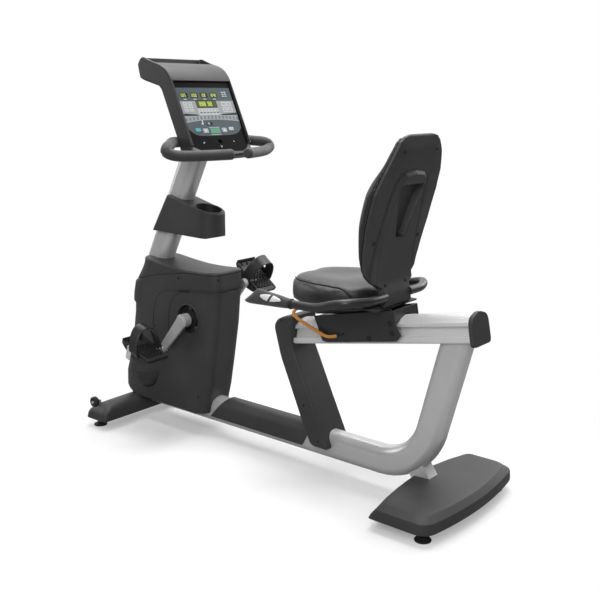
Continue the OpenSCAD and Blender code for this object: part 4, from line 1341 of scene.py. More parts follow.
    def screen(self) -> None:
        """The film with its key holes, and everything printed or lit on it."""
        slate = Ink("screen_slate", (0.075, 0.098, 0.108), 0.22)
        film = self.plate("screen_film", self.screen_outline(), -7, 0.1, slate, 0.0)
        cutters = []
        for _, d, y, h, w, _ in self.keys():
            half, high = w / 2 + self.key_gap, h / 2 + self.key_gap
            cutters.append(self.plate("cut", self.box(y - half, y + half, d - high, d + high, 3.4), -9, 5, slate, 0.0))
        on("frame", "display_panel", carve(film, *cutters), "console_display", "console_glass")
        grey = Ink("screen_grey", (0.30, 0.315, 0.32), 0.3)
        pale = Ink("screen_pale", (0.52, 0.53, 0.53), 0.3)
        dark = Ink("screen_dark", (0.018, 0.022, 0.024), 0.2)
        olive = Ink("screen_olive", (0.075, 0.095, 0.022), 0.2)
        lime = Ink("screen_lime", (0.52, 0.62, 0.12), 0.3, glow=0.35)
        white = Ink("screen_white", (0.8, 0.82, 0.82), 0.3)
        mid = Ink("screen_mid", (0.16, 0.185, 0.195), 0.25)
        t = np.linspace(-1, 1, 21)
        arc = np.stack([t * 138, 150 + 10 * t**2], 1)
        band = np.vstack([[[138.0, 76.0], [-138.0, 76.0]], arc])
        sheets: list[tuple[str, list[Array], Finish, float]] = []
        sheets.append(("screen_band", [band], grey, 0.2))
        high, low = (lambda a: (137 * a, 134 + 8 * a * a)), (lambda a: (137 * a, 146 + 9 * a * a))
        rays = [arr([high(a), high(b), low(b), low(a)]) for a, b in np.linspace(-1, 1, 30).reshape(-1, 2)]
        wedges = [arr([(-137, 124), (-137, 133), (-62, 133), (-72, 128)]),
                  arr([(137, 124), (137, 133), (48, 133), (60, 128)])]
        sheets.append(("screen_shadows", wedges + [self.box(-60, 46, 72, 103, 3)], dark, 0.32))
        sheets.append(("screen_rays", rays, mid, 0.3))
        pads = [self.box(a, a + 20, b, b + 10, 2) for a in (-126, -101) for b in (80, 93, 106)]
        blocks = [self.box(a, b, c, c + 18, 2) for c in (80, 102) for a, b in ((70, 94), (97, 122))]
        blocks.append(self.box(-59, 45, 106, 130, 2))
        rules = [self.box(-33, 20, c, c + 2, 0.5) for c in (179, 207)]
        sheets.append(("screen_pads", pads + blocks + rules, pale, 0.4))
        lines = [self.box(a, a + 13, b, b + 2, 0.4) for a in (-123, -98) for b in (84, 97, 110)]
        for wide, c, d in ((11, 110, 113), (13, 118, 125)):
            lines += [self.box(-54 + 17 * k, -54 + 17 * k + wide, c, d, 0.5) for k in range(6)]
        lines += [self.box(a, a + 16, b, b + 2.5, 0.5) for a in (74, 101) for b in (85, 91, 107, 113)]
        sheets.append(("screen_lines", lines, mid, 0.52))
        wells = [self.box(-126 + 50 * k, -88 + 50 * k, 44, 63, 1.5) for k in range(4)]
        sheets.append(("screen_windows", wells + [self.box(-40, -8, 158, 172, 2)], dark, 0.3))
        sheets.append(("screen_matrix", [self.box(-56, 42, 75, 100, 2.5)], olive, 0.45))
        lit: list[Array] = []
        for k, text in enumerate(("025", "1200", "128", "1640")):
            lit += self.segments(text, -122 + 50 * k - (3 if len(text) == 4 else 0), 47.5, 12)
        lit += self.segments("888", -44, 79, 17) + self.segments("88", 0, 79, 17)
        sheets.append(("screen_figures", lit, lime, 0.6))
        small = [self.box(a, a + 10, b, b + 2.5, 0.3) for a in (88, 102) for b in (40, 48, 56)]
        small += [self.box(-115 + 50 * k, -100 + 50 * k, 68, 70, 0.3) for k in range(4)]
        small += self.segments("45", -33, 161, 8)
        runner = [arr([(-62, 168), (-58, 158), (-55, 160), (-59, 170)]), self.box(-60, -55, 152, 157, 2.4),
                  arr([(-66, 164), (-56, 160), (-55, 162), (-65, 166)])]
        sheets.append(("screen_small_print", small + runner, white, 0.62))
        arrow = arr([(-87, 236), (-83, 241), (-79, 236), (-81, 235), (-83, 238), (-85, 235)])
        hints = [arrow, circle(2.2, 12) + [73, 238]]
        hints += [self.box(*sides, 0.3) for sides in ((-3, 3, 256, 257.6), (-3, -1.6, 251, 257), (1.6, 3, 251, 257))]
        sheets.append(("fascia_marks", hints, white, 0.2))
        for name, outlines, finish, height in sheets:
            on("frame", "display_panel", self.prints(name, outlines, finish, height))

    def fascia(self) -> Obj:
        """Glossy face with the screen's window and a small card slot cut through."""
        body = self.plate("fascia", self.face_outline(), -11, 0.0, FASCIA, 0.8)
        window = self.plate("cut", inset(counter_clockwise(self.screen_outline()), -0.2), -20, 10, FASCIA, 0.0)
        slot = self.plate("cut2", self.box(-10, 10, 228, 243, 2), -7, 10, FASCIA, 0.0)
        return carve(body, window, slot)

    def build(self) -> None:
        """Makes the whole console."""
        covering(self.housing(), "console_housing")
        on("frame", "fascia_black", self.fascia(), "console_bezel")
        self.screen()
        self.build_keys()


@dataclass
class Handlebar:
    """Foam-covered loops that run from the console's lower lip round to its back."""

    knots: Triples = (
        (-205, 46, 1119), (-234, 118, 1118), (-262, 188, 1118), (-285, 240, 1121), (-298, 271, 1133),
        (-311, 258, 1148), (-342, 214, 1155), (-385, 163, 1160), (-400, 100, 1160))
    radius: float = 19.5

    def build(self) -> None:
        """A round section along the smooth loop, on both sides."""
        for side, name in ((1, "right"), (-1, "left")):
            path = even(smooth(self.knots, 10), 90) * [1, side, 1]
            grip = rod(f"loop_grip_{name}", path, self.radius, GRIP_FOAM, 36, (0.02, 0.01, 1), 0.55)
            on("frame", "grip_foam", grip, *(("handlebar_grips",) if side > 0 else ()))
            core = arr([(-398, 100, 1160), (-404, 60, 1160), (-406, 30, 1160)]) * [1, side, 1]
            inner = rod(f"loop_core_{name}", core, 13, BLACK_PAINT)
            on("frame", "steel_black", inner, *(("handlebar",) if side > 0 else ()))


# --- covers and feet ---


@dataclass
class BaseCover:
    """Boot over the base tube."""

    def build(self) -> None:
        """Dresses the boot's solid, with its rims rounded."""
        skinned("base_cover", "frame", "grey_plastic", DARK_PLASTIC, 3.0, segments=3)


@dataclass
class StrutCover:
    """Forked cover between the base cover and the rail."""

    outline: Pairs = (
        (180, 104), (262, 104), (91, 467), (106, 573), (59, 564), (22, 545), (10, 519), (40, 412), (138, 189))
    half: float = 66.0

    def build(self) -> None:
        """Outline with rounded rims; its rear face meets the front end of the rail."""
        soft = even(rounded(self.outline, 18, 7), 160, True)
        body = slab("strut_cover_body", soft, -self.half, self.half, 9, DARK_PLASTIC, 5)
        covering(body, "strut_cover")


@dataclass
class Stabilisers:
    """Front and rear stabiliser covers: a bowed plan, a side wall, a bevel band and a crowned top."""

    def plan(self, front: tuple[float, float], rear: tuple[float, float], half: float,
            corners: tuple[float, float]) -> Array:
        """Plan whose long edges run as x = mid + (end - mid) * t^2, with rounded corners, front then rear."""
        t = np.linspace(-1, 1, 7)
        ahead = np.stack([front[0] + (front[1] - front[0]) * t**2, t * half], 1)
        behind = np.stack([rear[0] + (rear[1] - rear[0]) * t**2, t * half], 1)
        loop = np.vstack([behind, ahead[::-1]])
        parts = [rounded(loop, r, 9).reshape(len(loop), 9, 2) for r in corners]
        curve = np.concatenate([parts[1][:7], parts[0][7:]]).reshape(-1, 2)
        return even(counter_clockwise(curve), 260, True)

    def cover(self, name: str, rows: Sequence[tuple[float, ...]], crown: float) -> Obj:
        """A bowed plan carried up through rows.

        Args:
            name: the piece's name.
            rows: height; front at the middle and the ends; rear likewise; half length; front and rear corner radius.
            crown: how far the middle of the top rises.

        Returns:
            The cover.
        """
        grid = []
        for z, front, front_end, rear, rear_end, half, ahead, behind in rows:
            p = self.plan((front, front_end), (rear, rear_end), half, (ahead, behind))
            grid.append(level(p, z))
        last = grid[-1]
        mid_x = (last[:, 0].max() + last[:, 0].min()) / 2
        for t in (0.04, 0.12, 0.3, 0.55, 0.8, 0.98):
            p = np.stack([mid_x + (last[:, 0] - mid_x) * (1 - t), last[:, 1] * (1 - 0.16 * t)], 1)
            grid.append(level(p, last[:, 2] + crown * (1 - (1 - t) ** 2)))
        return wrapped(name, np.stack(grid), DARK_PLASTIC, 24)

    def build(self) -> None:
        """Both covers, the front one cut back for its wheels."""
        rear = self.cover("rear_stabiliser_top", (
            (40, 569.5, 589, 828.5, 798, 285.5, 8, 46), (42, 568, 588, 830, 799, 287, 8, 46),
            (58, 570, 597, 830, 799, 286, 9, 46), (72, 573, 609, 829, 798, 284, 10, 45),
            (76, 575, 613, 828, 797, 282.5, 10, 45), (78.5, 578, 617, 825, 794, 279, 11, 44),
            (90, 587, 634, 812, 781, 264, 14, 42), (93, 591, 639, 808, 777, 260, 15, 41),
            (94.3, 598, 647, 800, 769, 252, 16, 40)), 3.6)
        covering(rear, "rear_stabiliser_cover")
        front = self.cover("front_stabiliser_top", (
            (38, -828.5, -824.5, -706.5, -708.5, 283.5, 16, 22), (40, -830, -826, -705, -707, 285, 16, 22),
            (62, -827, -823, -706, -708, 281, 17, 23), (74, -823, -817, -708, -710, 274, 18, 24),
            (84, -815, -808, -714, -716, 264, 20, 26), (91, -804, -797, -722, -724, 253, 22, 27),
            (95, -794, -787, -731, -733, 242, 22, 26), (96, -790, -783, -735, -737, 237, 22, 25)), 4.0)
        gap = arr([(-900, 46), (-782, 46), (-782, 140), (-900, 140)])
        # The cutters' near-black plastic passes to the notch faces: painted shade in the wheel notches.
        cuts = [slab("cut", gap, *sorted((side * 233.0, side * 265.0)), 0.5, BLACK_AND_SHADE_PLASTIC, 1) for side in SIDES]
        covering(carve(front, *cuts, angle=24), "front_stabiliser_cover")


@dataclass
class Feet:
    """Screw-in levelling feet and transport wheels, all turned."""

    disc: Pairs = (
        (24, 0), (26.5, 0.8), (27, 3.0), (26, 5.2), (22, 6),
        (14.5, 6.6), (13.5, 10), (12.5, 14), (5.2, 14), (5.2, 43.6))
    tread: Pairs = (
        (5.3, 0.2), (9, 0.2), (10, 1.6), (15, 1.6), (16, 0.4), (20.6, 0.4), (22, 2.0),
        (22, 15.0), (20.6, 16.6), (16, 16.6), (15, 15.4), (10, 15.4), (9, 16.8), (5.3, 16.8))
    places: tuple[tuple[str, float, float], ...] = (
        ("front_left", -790, -241), ("front_right", -790, 241), ("rear_left", 757, -233), ("rear_right", 757, 233))

    def build(self) -> None:
        """Each foot is a rubber disc with a ridged rim under a short stem; each wheel has a tread and a hub."""
        for corner, x, y in self.places:
            name = f"foot_{corner}"
            foot = turned(name + "_disc", self.disc, (x, y, 0), (0, 0, 1), BLACK_RUBBER, 48)
            on(name + "_body", "black_rubber", foot, name)
        for side in SIDES:
            name = f"transport_wheel_{side_name(side)}"
            wheel = turned(name + "_tread", self.tread, (-808, side * 243, 97), (0, side, 0), BLACK_RUBBER, 56)
            on(name + "_body", "black_rubber", wheel, name)


# --- crank and pedals ---


@dataclass
class Cranks:
    """Crank arms with rounded ends, their caps and the pedals that turn on them."""

    def arm(self, right: bool) -> Obj:
        """Flat forged arm: a waisted outline with its rims rounded, and a round boss at each end."""
        side = 1 if right else -1
        far = AT.pedal_axis(right)
        c = arr(AT.crank)
        along = unit(far - c)
        across = arr([-along[1], along[0]])
        out = []
        for centre, r, a0, a1 in ((c, 25.0, 100, 260), (far, 17.0, 280, 440)):
            t = np.radians(np.linspace(a0, a1, 22))
            out.append(centre + r * (np.cos(t)[:, None] * along + np.sin(t)[:, None] * across))
        loop = np.vstack(out)
        y0, y1 = sorted((side * 104.5, side * 123.5))
        skin = Skin()
        skin.tube(slab_points(even(loop, 120, True), y0, y1, 5, 4))
        for centre, r, lo, hi in ((c, 26, 88, 123), (far, 17.5, 103, 125)):
            skin.turn([(r - 3, lo), (r, lo + 2), (r, hi - 2), (r - 3, hi)], (centre[0], 0, centre[1]), (0, side, 0), 48)
        return skin.build(f"crank_arm_{side_name(side)}", [CRANK_PAINT], 40)

    def caps(self) -> Obj:
        """Dust cap with a hexagon over each arm's bolt."""
        skin = Skin()
        for side in SIDES:
            at = (AT.crank[0], side * 122.6, AT.crank[1])
            cap = [(20, -6), (20, 1.2), (18.5, 3.0), (12, 3.8), (11, 2.0), (9.4, 2.0), (9.2, 4.0), (4, 4.6)]
            skin.turn(cap, at, (0, side, 0), 48)
        return skin.build("arm_dust_caps", [CRANK_PAINT], 40)

    def build(self) -> None:
        """Arms, caps and both pedals."""
        for right in (False, True):
            on("crankset", "crank_metal", self.arm(right), *(("crank_arms",) if right else ()))
        on("crankset", "crank_metal", self.caps())
        Pedal(False).build()
        Pedal(True).build()


@dataclass
class Pedal:
    """Wide moulded pedal with a toe guard, cross bars, edge rails and an arched strap with buckle."""

    right: bool
    half: float = 54.0
    top: Pairs = ((62, 4), (50, 8), (0, 8), (-60, 9), (-92, 18))
    bottom: Pairs = ((-96, 8), (-70, -8), (-40, -20), (0, -30), (35, -20), (58, -8))

    def at(self, s: Any, y: Any, n: Any) -> Array:
        """Points s along the pedal, y across and n above its spindle, in the frame."""
        across = (AT.pedal_y + arr(y)) * (1 if self.right else -1)
        return tilted(AT.pedal_axis(self.right), -AT.tilts[self.right], s, across, n)

    def bar(self, skin: Skin, box: Sequence[float]) -> None:
        """Adds a block with softened edges from its s, y and n ranges."""
        s0, s1, y0, y1, n0, n1 = box
        base = rect(s1 - s0, y1 - y0, min(2.5, (s1 - s0) / 2.2), 3) + [(s0 + s1) / 2, (y0 + y1) / 2]
        rows = [self.at(p[:, 0], p[:, 1], n) for n, p in ((n0, base), (n1 - 1, base), (n1, inset(base, 1.0)))]
        skin.tube(np.stack(rows))

    def rib(self, skin: Skin, shift: float, way: int) -> None:
        """Adds one slanting rib of the tread: the line y = way * (s + 3) + shift * sqrt(2), kept inside the deck."""
        s = np.linspace(-50, 44, 95)
        y = way * (s + 3) + shift * math.sqrt(2)
        s, y = s[np.abs(y) < 42], y[np.abs(y) < 42]
        if len(s) < 5:
            return
        ends = arr([[s[0], y[0]], [s[-1], y[-1]]])
        out = unit(arr([[-way, 1.0]])) * 1.3
        base = np.vstack([ends + out, (ends - out)[::-1]])
        skin.tube(np.stack([self.at(base[:, 0], base[:, 1], n) for n in (4.0, 10.0)]))

    def prism(self, skin: Skin, outline: Array, y0: float, y1: float, radius: float) -> None:
        """Adds a plate standing along the pedal, from its outline in s and n, with rounded rims."""
        skin.tube(self.at(*np.moveaxis(slab_points(outline, y0, y1, radius, 3), -1, 0)))

    def profile(self) -> Array:
        """Side outline of the pedal in s and n."""
        return rounded(np.vstack([smooth(self.top, 6), smooth(self.bottom, 6)]), 2.5, 3)

    def body(self) -> Obj:
        """Side rails, a deck with cross bars, a heel edge and a raised toe guard."""
        skin = Skin()
        outline = self.profile()
        self.prism(skin, outline, -self.half, -self.half + 8, 3)
        self.prism(skin, outline, self.half - 8, self.half, 3)
        lo = inset(counter_clockwise(outline), 3.2)
        self.prism(skin, lo, -self.half + 4, self.half - 4, 1)
        for k in range(-8, 9):
            for way in SIDES:
                self.rib(skin, 11.5 * k, way)
        self.bar(skin, (54, 62, -self.half + 2, self.half - 2, -8, 4.2))
        toe = arr([(-92, 4), (-97, 6), (-99, 24), (-96, 27), (-93, 24), (-90, 14), (-74, 6), (-74, 0)])
        self.prism(skin, rounded(toe, 2, 3), -self.half + 3, self.half - 3, 2)
        for y in (-30, 0, 30):
            self.bar(skin, (-93, -76, y - 1.5, y + 1.5, 6, 15))
        self.bar(skin, (-11, 11, -self.half + 6, self.half - 6, -17, 1))
        return skin.build(f"pedal_block_{self.tag}", [PEDAL_PLASTIC], 35)

    @property
    def tag(self) -> str:
        """Which side the pedal is on."""
        return side_name(1 if self.right else -1)

    def arch(self) -> Array:
        """Strap path across the pedal in y and n: two short legs and the arch (62.4 cos t, 94 sin t) between them."""
        t = np.linspace(0.07, math.pi - 0.07, 61)
        n = np.linspace(-10, 6, 9)
        leg = self.half + 3.2 + 5.0 * ramp(n, -8, 8)
        over = np.stack([62.4 * np.cos(t), 94 * np.sin(t)], 1)
        return np.vstack([np.stack([leg, n], 1), over, np.stack([-leg, n], 1)[::-1]])

    def strap(self) -> Obj:
        """Band over the toes: a flat section carried over the arch, leaning forward, with raised edges."""
        path = even(self.arch(), 120)
        s0, s1 = -38.0, 22.0
        section = [(t, 2.0 if 0.08 < t < 0.92 else 2.7) for t in np.linspace(0, 1, 9)]
        pts = arr(section + [(t, -h * 0.45) for t, h in section[::-1]])
        way = unit(np.gradient(path, axis=0))
        out = np.stack([way[:, 1], -way[:, 0]], 1)
        out *= np.sign(np.sum(out * (path - [0, 10]), 1, keepdims=True))
        rise = np.clip((path[:, 1] + 6) / 90, 0, 1)
        rows = []
        for p, o, r in zip(path, out, rise):
            mid, half = (s0 + s1) / 2 - 2 - (12 if self.right else 34) * r, (s1 - s0) / 2 * (0.74 + 0.02 * r)
            s = mid + half * (2 * pts[:, 0] - 1)
            rows.append(self.at(s, p[0] + o[0] * pts[:, 1], p[1] + o[1] * pts[:, 1]))
        return wrapped(f"strap_band_{self.tag}", np.stack(rows), STRAP_PLASTIC, 40)

    def buckle(self) -> Obj:
        """Pale slide buckle on the outer leg of the strap, with two raised bars on it."""
        skin = Skin()
        leg = self.half + 2.6
        outline = rect(26, 58, 6, 5) + [-40, -8]
        self.prism(skin, outline, leg + 1.4, leg + 5.2, 1.4)
        for s in (-48, -32):
            self.bar(skin, (s - 2, s + 2, leg + 3, leg + 6.0, -32, 16))
        return skin.build(f"strap_buckle_{self.tag}",
            [STRAP_PLASTIC if self.right else Moulded("buckle_grey", (0.62, 0.62, 0.62), 0.4)], 40)

    def build(self) -> None:
        """Makes the pedal and strap and puts them on the pedal's body."""
        body = f"pedal_{self.tag}_body"
        on(body, "pedal_plastic", self.body(), f"pedal_{self.tag}")
        on(body, "strap_plastic", self.strap(), f"pedal_strap_{self.tag}")
        on(body, "strap_plastic", self.buckle())


# --- seat ---

FINE_VOXEL, COARSE_VOXEL = 0.005, 0.009
PRESSURE, STIFFNESS = 4.0, 30.0
LAST_FRAME, SMOOTHINGS = 20, 12


def read(items: Any, name: str, width: int = 3, kind: type = float) -> Array:
    """One attribute of all vertices or edges of a mesh, a row for each."""
    out = np.zeros(len(items) * width, dtype=kind)
    items.foreach_get(name, out)
    return out.reshape(-1, width)


def swollen(obj: Obj, cap_mm: float, hold: Callable[[Array], Array]) -> Obj:
    """Blows a cushion up as cloth and keeps the result.

    Args:
        obj: the closed starting shape, a little smaller than the cushion.
        cap_mm: how far a point may move.
        hold: how firmly each rest point is held, from 0 to 1.

    Returns:
        The object with its final mesh.
    """
    obj.modifiers.clear()
    m = obj.modifiers.new("even", "REMESH")
    m.mode, m.voxel_size = "VOXEL", FINE_VOXEL
    settled(obj)
    mesh = obj.data
    rest = read(mesh.vertices, "co")
    group = obj.vertex_groups.new(name="hold")
    for i, w in enumerate(hold(rest / MM)):
        group.add([i], float(w), "REPLACE")
    m = obj.modifiers.new("cloth", "CLOTH")
    s = m.settings
    s.use_pressure, s.uniform_pressure_force = True, PRESSURE
    s.effector_weights.gravity = 0.0
    s.quality, s.mass, s.vertex_group_mass = 5, 0.4, "hold"
    s.tension_stiffness = s.compression_stiffness = STIFFNESS
    m.point_cache.frame_start, m.point_cache.frame_end = 1, LAST_FRAME
    scene = bpy.context.scene
    for f in range(1, LAST_FRAME + 1):
        scene.frame_set(f)
    dg = bpy.context.evaluated_depsgraph_get()
    step = read(obj.evaluated_get(dg).data.vertices, "co") - rest
    pairs = read(mesh.edges, "vertices", 2, int)
    a, b = pairs.T
    count = np.bincount(pairs.reshape(-1), minlength=len(rest))[:, None]
    for _ in range(SMOOTHINGS):
        near = np.zeros_like(step)
        np.add.at(near, a, step[b])
        np.add.at(near, b, step[a])
        step = 0.4 * step + 0.6 * near / np.maximum(count, 1)
    far = np.linalg.norm(step, axis=1, keepdims=True)
    cap = cap_mm * MM
    rest = rest + step * np.where(far > 1e-9, cap * np.tanh(far / cap) / np.maximum(far, 1e-9), 0)
    obj.modifiers.clear()
    scene.frame_set(1)
    mesh.vertices.foreach_set("co", rest.reshape(-1))
    m = obj.modifiers.new("fine", "SUBSURF")
    m.levels = m.render_levels = 1
    settled(obj)
    obj.data.shade_smooth()
    return obj


def sewn(obj: Obj, lines: Sequence[Array], depth: float, wide: float) -> Obj:
    """Presses seams into a cushion: each point sinks by depth * exp(-(distance / wide)^2) along its normal.

    Args:
        obj: the cushion.
        lines: seams as points in millimetres, near the surface.
        depth: depth of a seam.
        wide: its half width.

    Returns:
        The cushion.
    """
    mesh = obj.data
    co, no = read(mesh.vertices, "co") / MM, read(mesh.vertices, "normal")
    near = np.full(len(co), FAR)
    for line in lines:
        for q in line:
            near = np.minimum(near, np.linalg.norm(co - q, axis=1))
    co = (co - no * (depth * np.exp(-((near / wide) ** 2)))[:, None]) * MM
    mesh.vertices.foreach_set("co", co.reshape(-1))
    mesh.update()
    return obj


def laid(tree: BVHTree, guide: Array) -> Array:
    """A guide line brought to the nearest points of a surface and smoothed by (a + 2 b + c) / 4 three times."""
    p = arr([spot for spot, _ in seated(tree, guide, 0.0)])
    for _ in range(3):
        p[1:-1] = (p[:-2] + 2 * p[1:-1] + p[2:]) / 4
    return p


def upholstered(pad: Obj, node: str, guides: Sequence[Array], depth: float, wide: float) -> list[Array]:
    """Presses seams into a swollen pad, puts it on the seat and gives back its seam lines."""
    tree = surface(pad)
    lines = [laid(tree, guide) for guide in guides]
    on_seat("upholstery", sewn(pad, lines, depth, wide), node)
    return lines


def piping(name: str, line: Array, radius: float, up: Triple) -> None:
    """Lays piping along a seam."""
    on_seat("upholstery", rod(name, line, radius, PIPING, 10, up))


@dataclass
class SeatCushion:
    """Crowned seat cushion with a piped seam along each shoulder."""

    knots: Pairs = (
        (100, 0), (107, 62), (142, 122), (212, 164), (290, 186), (372, 182), (428, 150), (454, 100), (456, 0))
    base: float = 664.0
    height: float = 71.0

    def outline(self) -> Array:
        """Plan of the cushion."""
        half = smooth(self.knots, 8)
        return counter_clockwise(even(np.vstack([half, (half * [1, -1])[::-1][1:-1]]), 150, True))

    def form(self) -> Obj:
        """Starting shape: side walls that belly out, a rounded shoulder, and a crown with a slight dip."""
        loop = self.outline()
        rows = []
        for z, d in ((-13, 14), (-11, 9), (-4, 5.0), (8, 3.0), (24, 2.5), (38, 2.5)):
            p = inset(loop, d)
            rows.append(level(p, self.base + z))
        for a in np.linspace(0.15, QUARTER, 9):
            p = inset(loop, 3.0 + 24 * (1 - math.cos(a)))
            rows.append(level(p, self.base + 41 + 22 * math.sin(a)))
        last = rows[-1]
        mid = arr([285.0, 0.0, 0.0])
        for t in np.linspace(0, 1, 10)[1:]:
            p = last.copy()
            p[:, :2] = mid[:2] + (last[:, :2] - mid[:2]) * (1 - t * 0.995)
            p[:, 2] = last[:, 2] + 2.0 * math.sin(math.pi * min(t * 1.4, 1)) - 3.0 * ramp(arr(t), 0.3, 1.0)
            rows.append(p)
        return wrapped("seat_pad", np.stack(rows), UPHOLSTERY, 60)

    def seam(self, side: int) -> Array:
        """Guide of one shoulder seam: up the nose, along the shoulder, and down the side at the rear."""
        knots = [(103, 60, 668), (104, 72, 700), (116, 88, 726), (160, 124, 734), (212, 148, 736), (270, 160, 736),
            (330, 162, 734), (378, 162, 730), (408, 162, 716), (422, 158, 690), (426, 154, 662)]
        return even(smooth(knots, 8), 120) * [1, side, 1]

    def build(self) -> None:
        """Makes the pad, presses the seams in and lays piping along them."""
        pad = swollen(self.form(), 9, lambda p: (p[:, 2] < 655).astype(float))
        lines = upholstered(pad, "seat_cushion", [self.seam(side) for side in SIDES], 2.6, 4.0)
        for side, line in zip(SIDES, lines):
            piping(f"seat_piping_{side_name(side)}", line, 2.3, (0.1, 0.2, 1))


@dataclass
class BackRest:
    """Backrest: a moulded shell with a raised spine and a hand pocket, and a padded front."""

    rear: Pairs = (
        (483, 659), (476, 700), (462, 752), (467, 826), (490, 931),
        (518, 1031), (541, 1095), (559, 1156), (566, 1204), (567, 1213))
    front: Pairs = ((448, 740), (432, 819), (431, 902), (443, 977), (469, 1057), (503, 1118), (525, 1189), (532, 1207))
    half: Pairs = (
        (659, 78), (722, 80), (745, 118), (770, 146), (826, 161), (931, 176), (1031, 178), (1095, 162), (1156, 136),
        (1190, 115), (1205, 96), (1211, 68), (1212, 58))
    panel: Pairs = (
        (659, 80), (700, 96), (737, 109), (853, 98), (980, 85),
        (1060, 74), (1076, 66), (1086, 50), (1090, 20), (1092, 0))
    pocket: Pairs = ((882, 0), (883, 14), (888, 24), (1038, 69), (1048, 67), (1054, 58), (1055, 0))

    def at(self, table: Any, z: Array, fine: int = 8) -> Array:
        """Value at a height, from a smooth line of (height, value)."""
        p = smooth(table, fine)
        return np.interp(z, p[:, 0], p[:, 1])

    def rear_x(self, z: Array) -> Array:
        """Place of the rear line at a height."""
        return self.at(arr(self.rear)[:, ::-1], z)

    def front_x(self, z: Array) -> Array:
        """Place of the front line at a height."""
        return self.at(arr(self.front)[:, ::-1], z)

    def inside(self, table: Pairs, y: Array, z: Array) -> Array:
        """Least distance from a point to the edge of a mirrored outline, positive inside."""
        k = arr(table)[:, ::-1]
        loop = np.vstack([k, (k * [-1, 1])[::-1]])
        near = np.full(y.shape, FAR)
        for a, b in zip(loop, np.roll(loop, -1, 0)):
            ab = b - a
            if ab @ ab < 1e-6:
                continue
            t = np.clip(((y - a[0]) * ab[0] + (z - a[1]) * ab[1]) / (ab @ ab), 0, 1)
            near = np.minimum(near, np.hypot(y - a[0] - t * ab[0], z - a[1] - t * ab[1]))
        span = np.interp(z, k[:, 1], k[:, 0], left=-1, right=-1)
        return np.where(np.abs(y) < span, near, -near)

    def shell(self) -> Obj:
        """Rear face as heights over the outline, with a rounded rim, a flange line, and a plain front."""
        zs = np.concatenate([np.linspace(660.0, 1196, 240), 1196 + 16 * np.sin(np.linspace(0, QUARTER, 12)[1:])])
        s = np.sin(np.linspace(-QUARTER, QUARTER, 157))
        s = 0.5 * s + 0.5 * np.linspace(-1, 1, 157)
        z = np.repeat(zs[:, None], len(s), 1)
        y = self.at(self.half, zs, 1)[:, None] * s
        edge = np.minimum(self.at(self.half, zs, 1)[:, None] * (1 - np.abs(s)), 1213 - z)
        edge = np.minimum(edge, (z - 659) * 2)
        r = 9.0
        rim = r - np.sqrt(np.maximum(r * r - np.maximum(r - edge, 0) ** 2, 0))
        spine = self.inside(self.panel, y, z)
        swell = ramp(spine, -9, 9)
        valley = 2.2 * np.exp(-((spine + 12) / 7) ** 2) * ramp(z, 740, 780)
        wings = 3.0 * ramp(edge, 0, 60) * (1 - swell)
        hole = self.inside(self.pocket, y, z)
        floor = 22 + 5 * ramp(z, 900, 1050)
        lip = 0.8 * np.exp(-((hole + 4) / 3) ** 2)
        x = self.rear_x(z) + 4 - rim * (1 - 0.2 * swell) + 13 * swell + wings - valley - lip
        x = x - floor * ramp(hole, -1.5, 6.0)
        back = np.stack([x, y, z], -1)
        plain = np.stack([self.rear_x(z) - 10 + np.minimum(rim, 5), y, z], -1)
        grid = np.concatenate([back, plain[:, ::-1]], 1)
        return wrapped("back_cover", grid, DARK_PLASTIC, 40)

    def pad_form(self) -> Obj:
        """Starting shape of the pad: front corners turned with a large radius, thinning to both ends."""
        zs = np.linspace(744, 1203, 70)
        s = np.sin(np.linspace(-QUARTER, QUARTER, 61))
        z = np.repeat(zs[:, None], 61, 1)
        h = self.at(self.half, zs, 1)[:, None] - 4
        y = h * s
        deep = np.maximum(self.rear_x(z) - 11.5 - self.front_x(z) - 3, 4)
        turn = np.clip((np.abs(y) - (h - 58)) / 58, 0, 1)
        face = self.rear_x(z) - 11.5 - deep * (0.30 + 0.70 * np.sqrt(np.maximum(1 - turn**2.4, 0)))
        grid = np.concatenate([np.stack([face, y, z], -1), np.stack([self.rear_x(z) - 11.5, y, z], -1)[:, ::-1]], 1)
        return wrapped("back_cushion", grid, UPHOLSTERY, 60)

    def seams(self) -> list[Array]:
        """Two shoulder seams down the front and one across the lumbar, as guides."""
        out = []
        for side in SIDES:
            knots = [(452, 74, 752), (424, 96, 800), (420, 112, 880), (430, 118, 960), (458, 114, 1050),
                (496, 92, 1130), (520, 62, 1196)]
            out.append(even(smooth(knots, 8), 130) * [1, side, 1])
        out.append(even([(428, y, 905 + 14 * (y / 110) ** 2) for y in range(-110, 111, 10)], 70))
        return out

    def build(self) -> None:
        """Shell, screws, pad, piping."""
        shell = self.shell()
        spots = ((93, 1162), (128, 875), (58, 730))
        guides = [(self.rear_x(arr(z)) + 10, side * y, z) for y, z in spots for side in SIDES]
        places = seated(surface(shell), guides)
        on_seat("grey_plastic", shell, "back_shell")
        on_seat("steel_black", screws("back_cover_screws", places, 6.5, BLACK_AND_SHADE_PLASTIC))
        pad = swollen(self.pad_form(), 8, lambda p: (p[:, 0] > self.rear_x(p[:, 2]) - 16).astype(float))
        lines = upholstered(pad, "back_pad", self.seams(), 3.0, 5.0)
        for k, line in enumerate(lines[:2]):
            piping(f"back_piping_{k + 1}", line, 2.2, (-1, 0.2, 0.1))


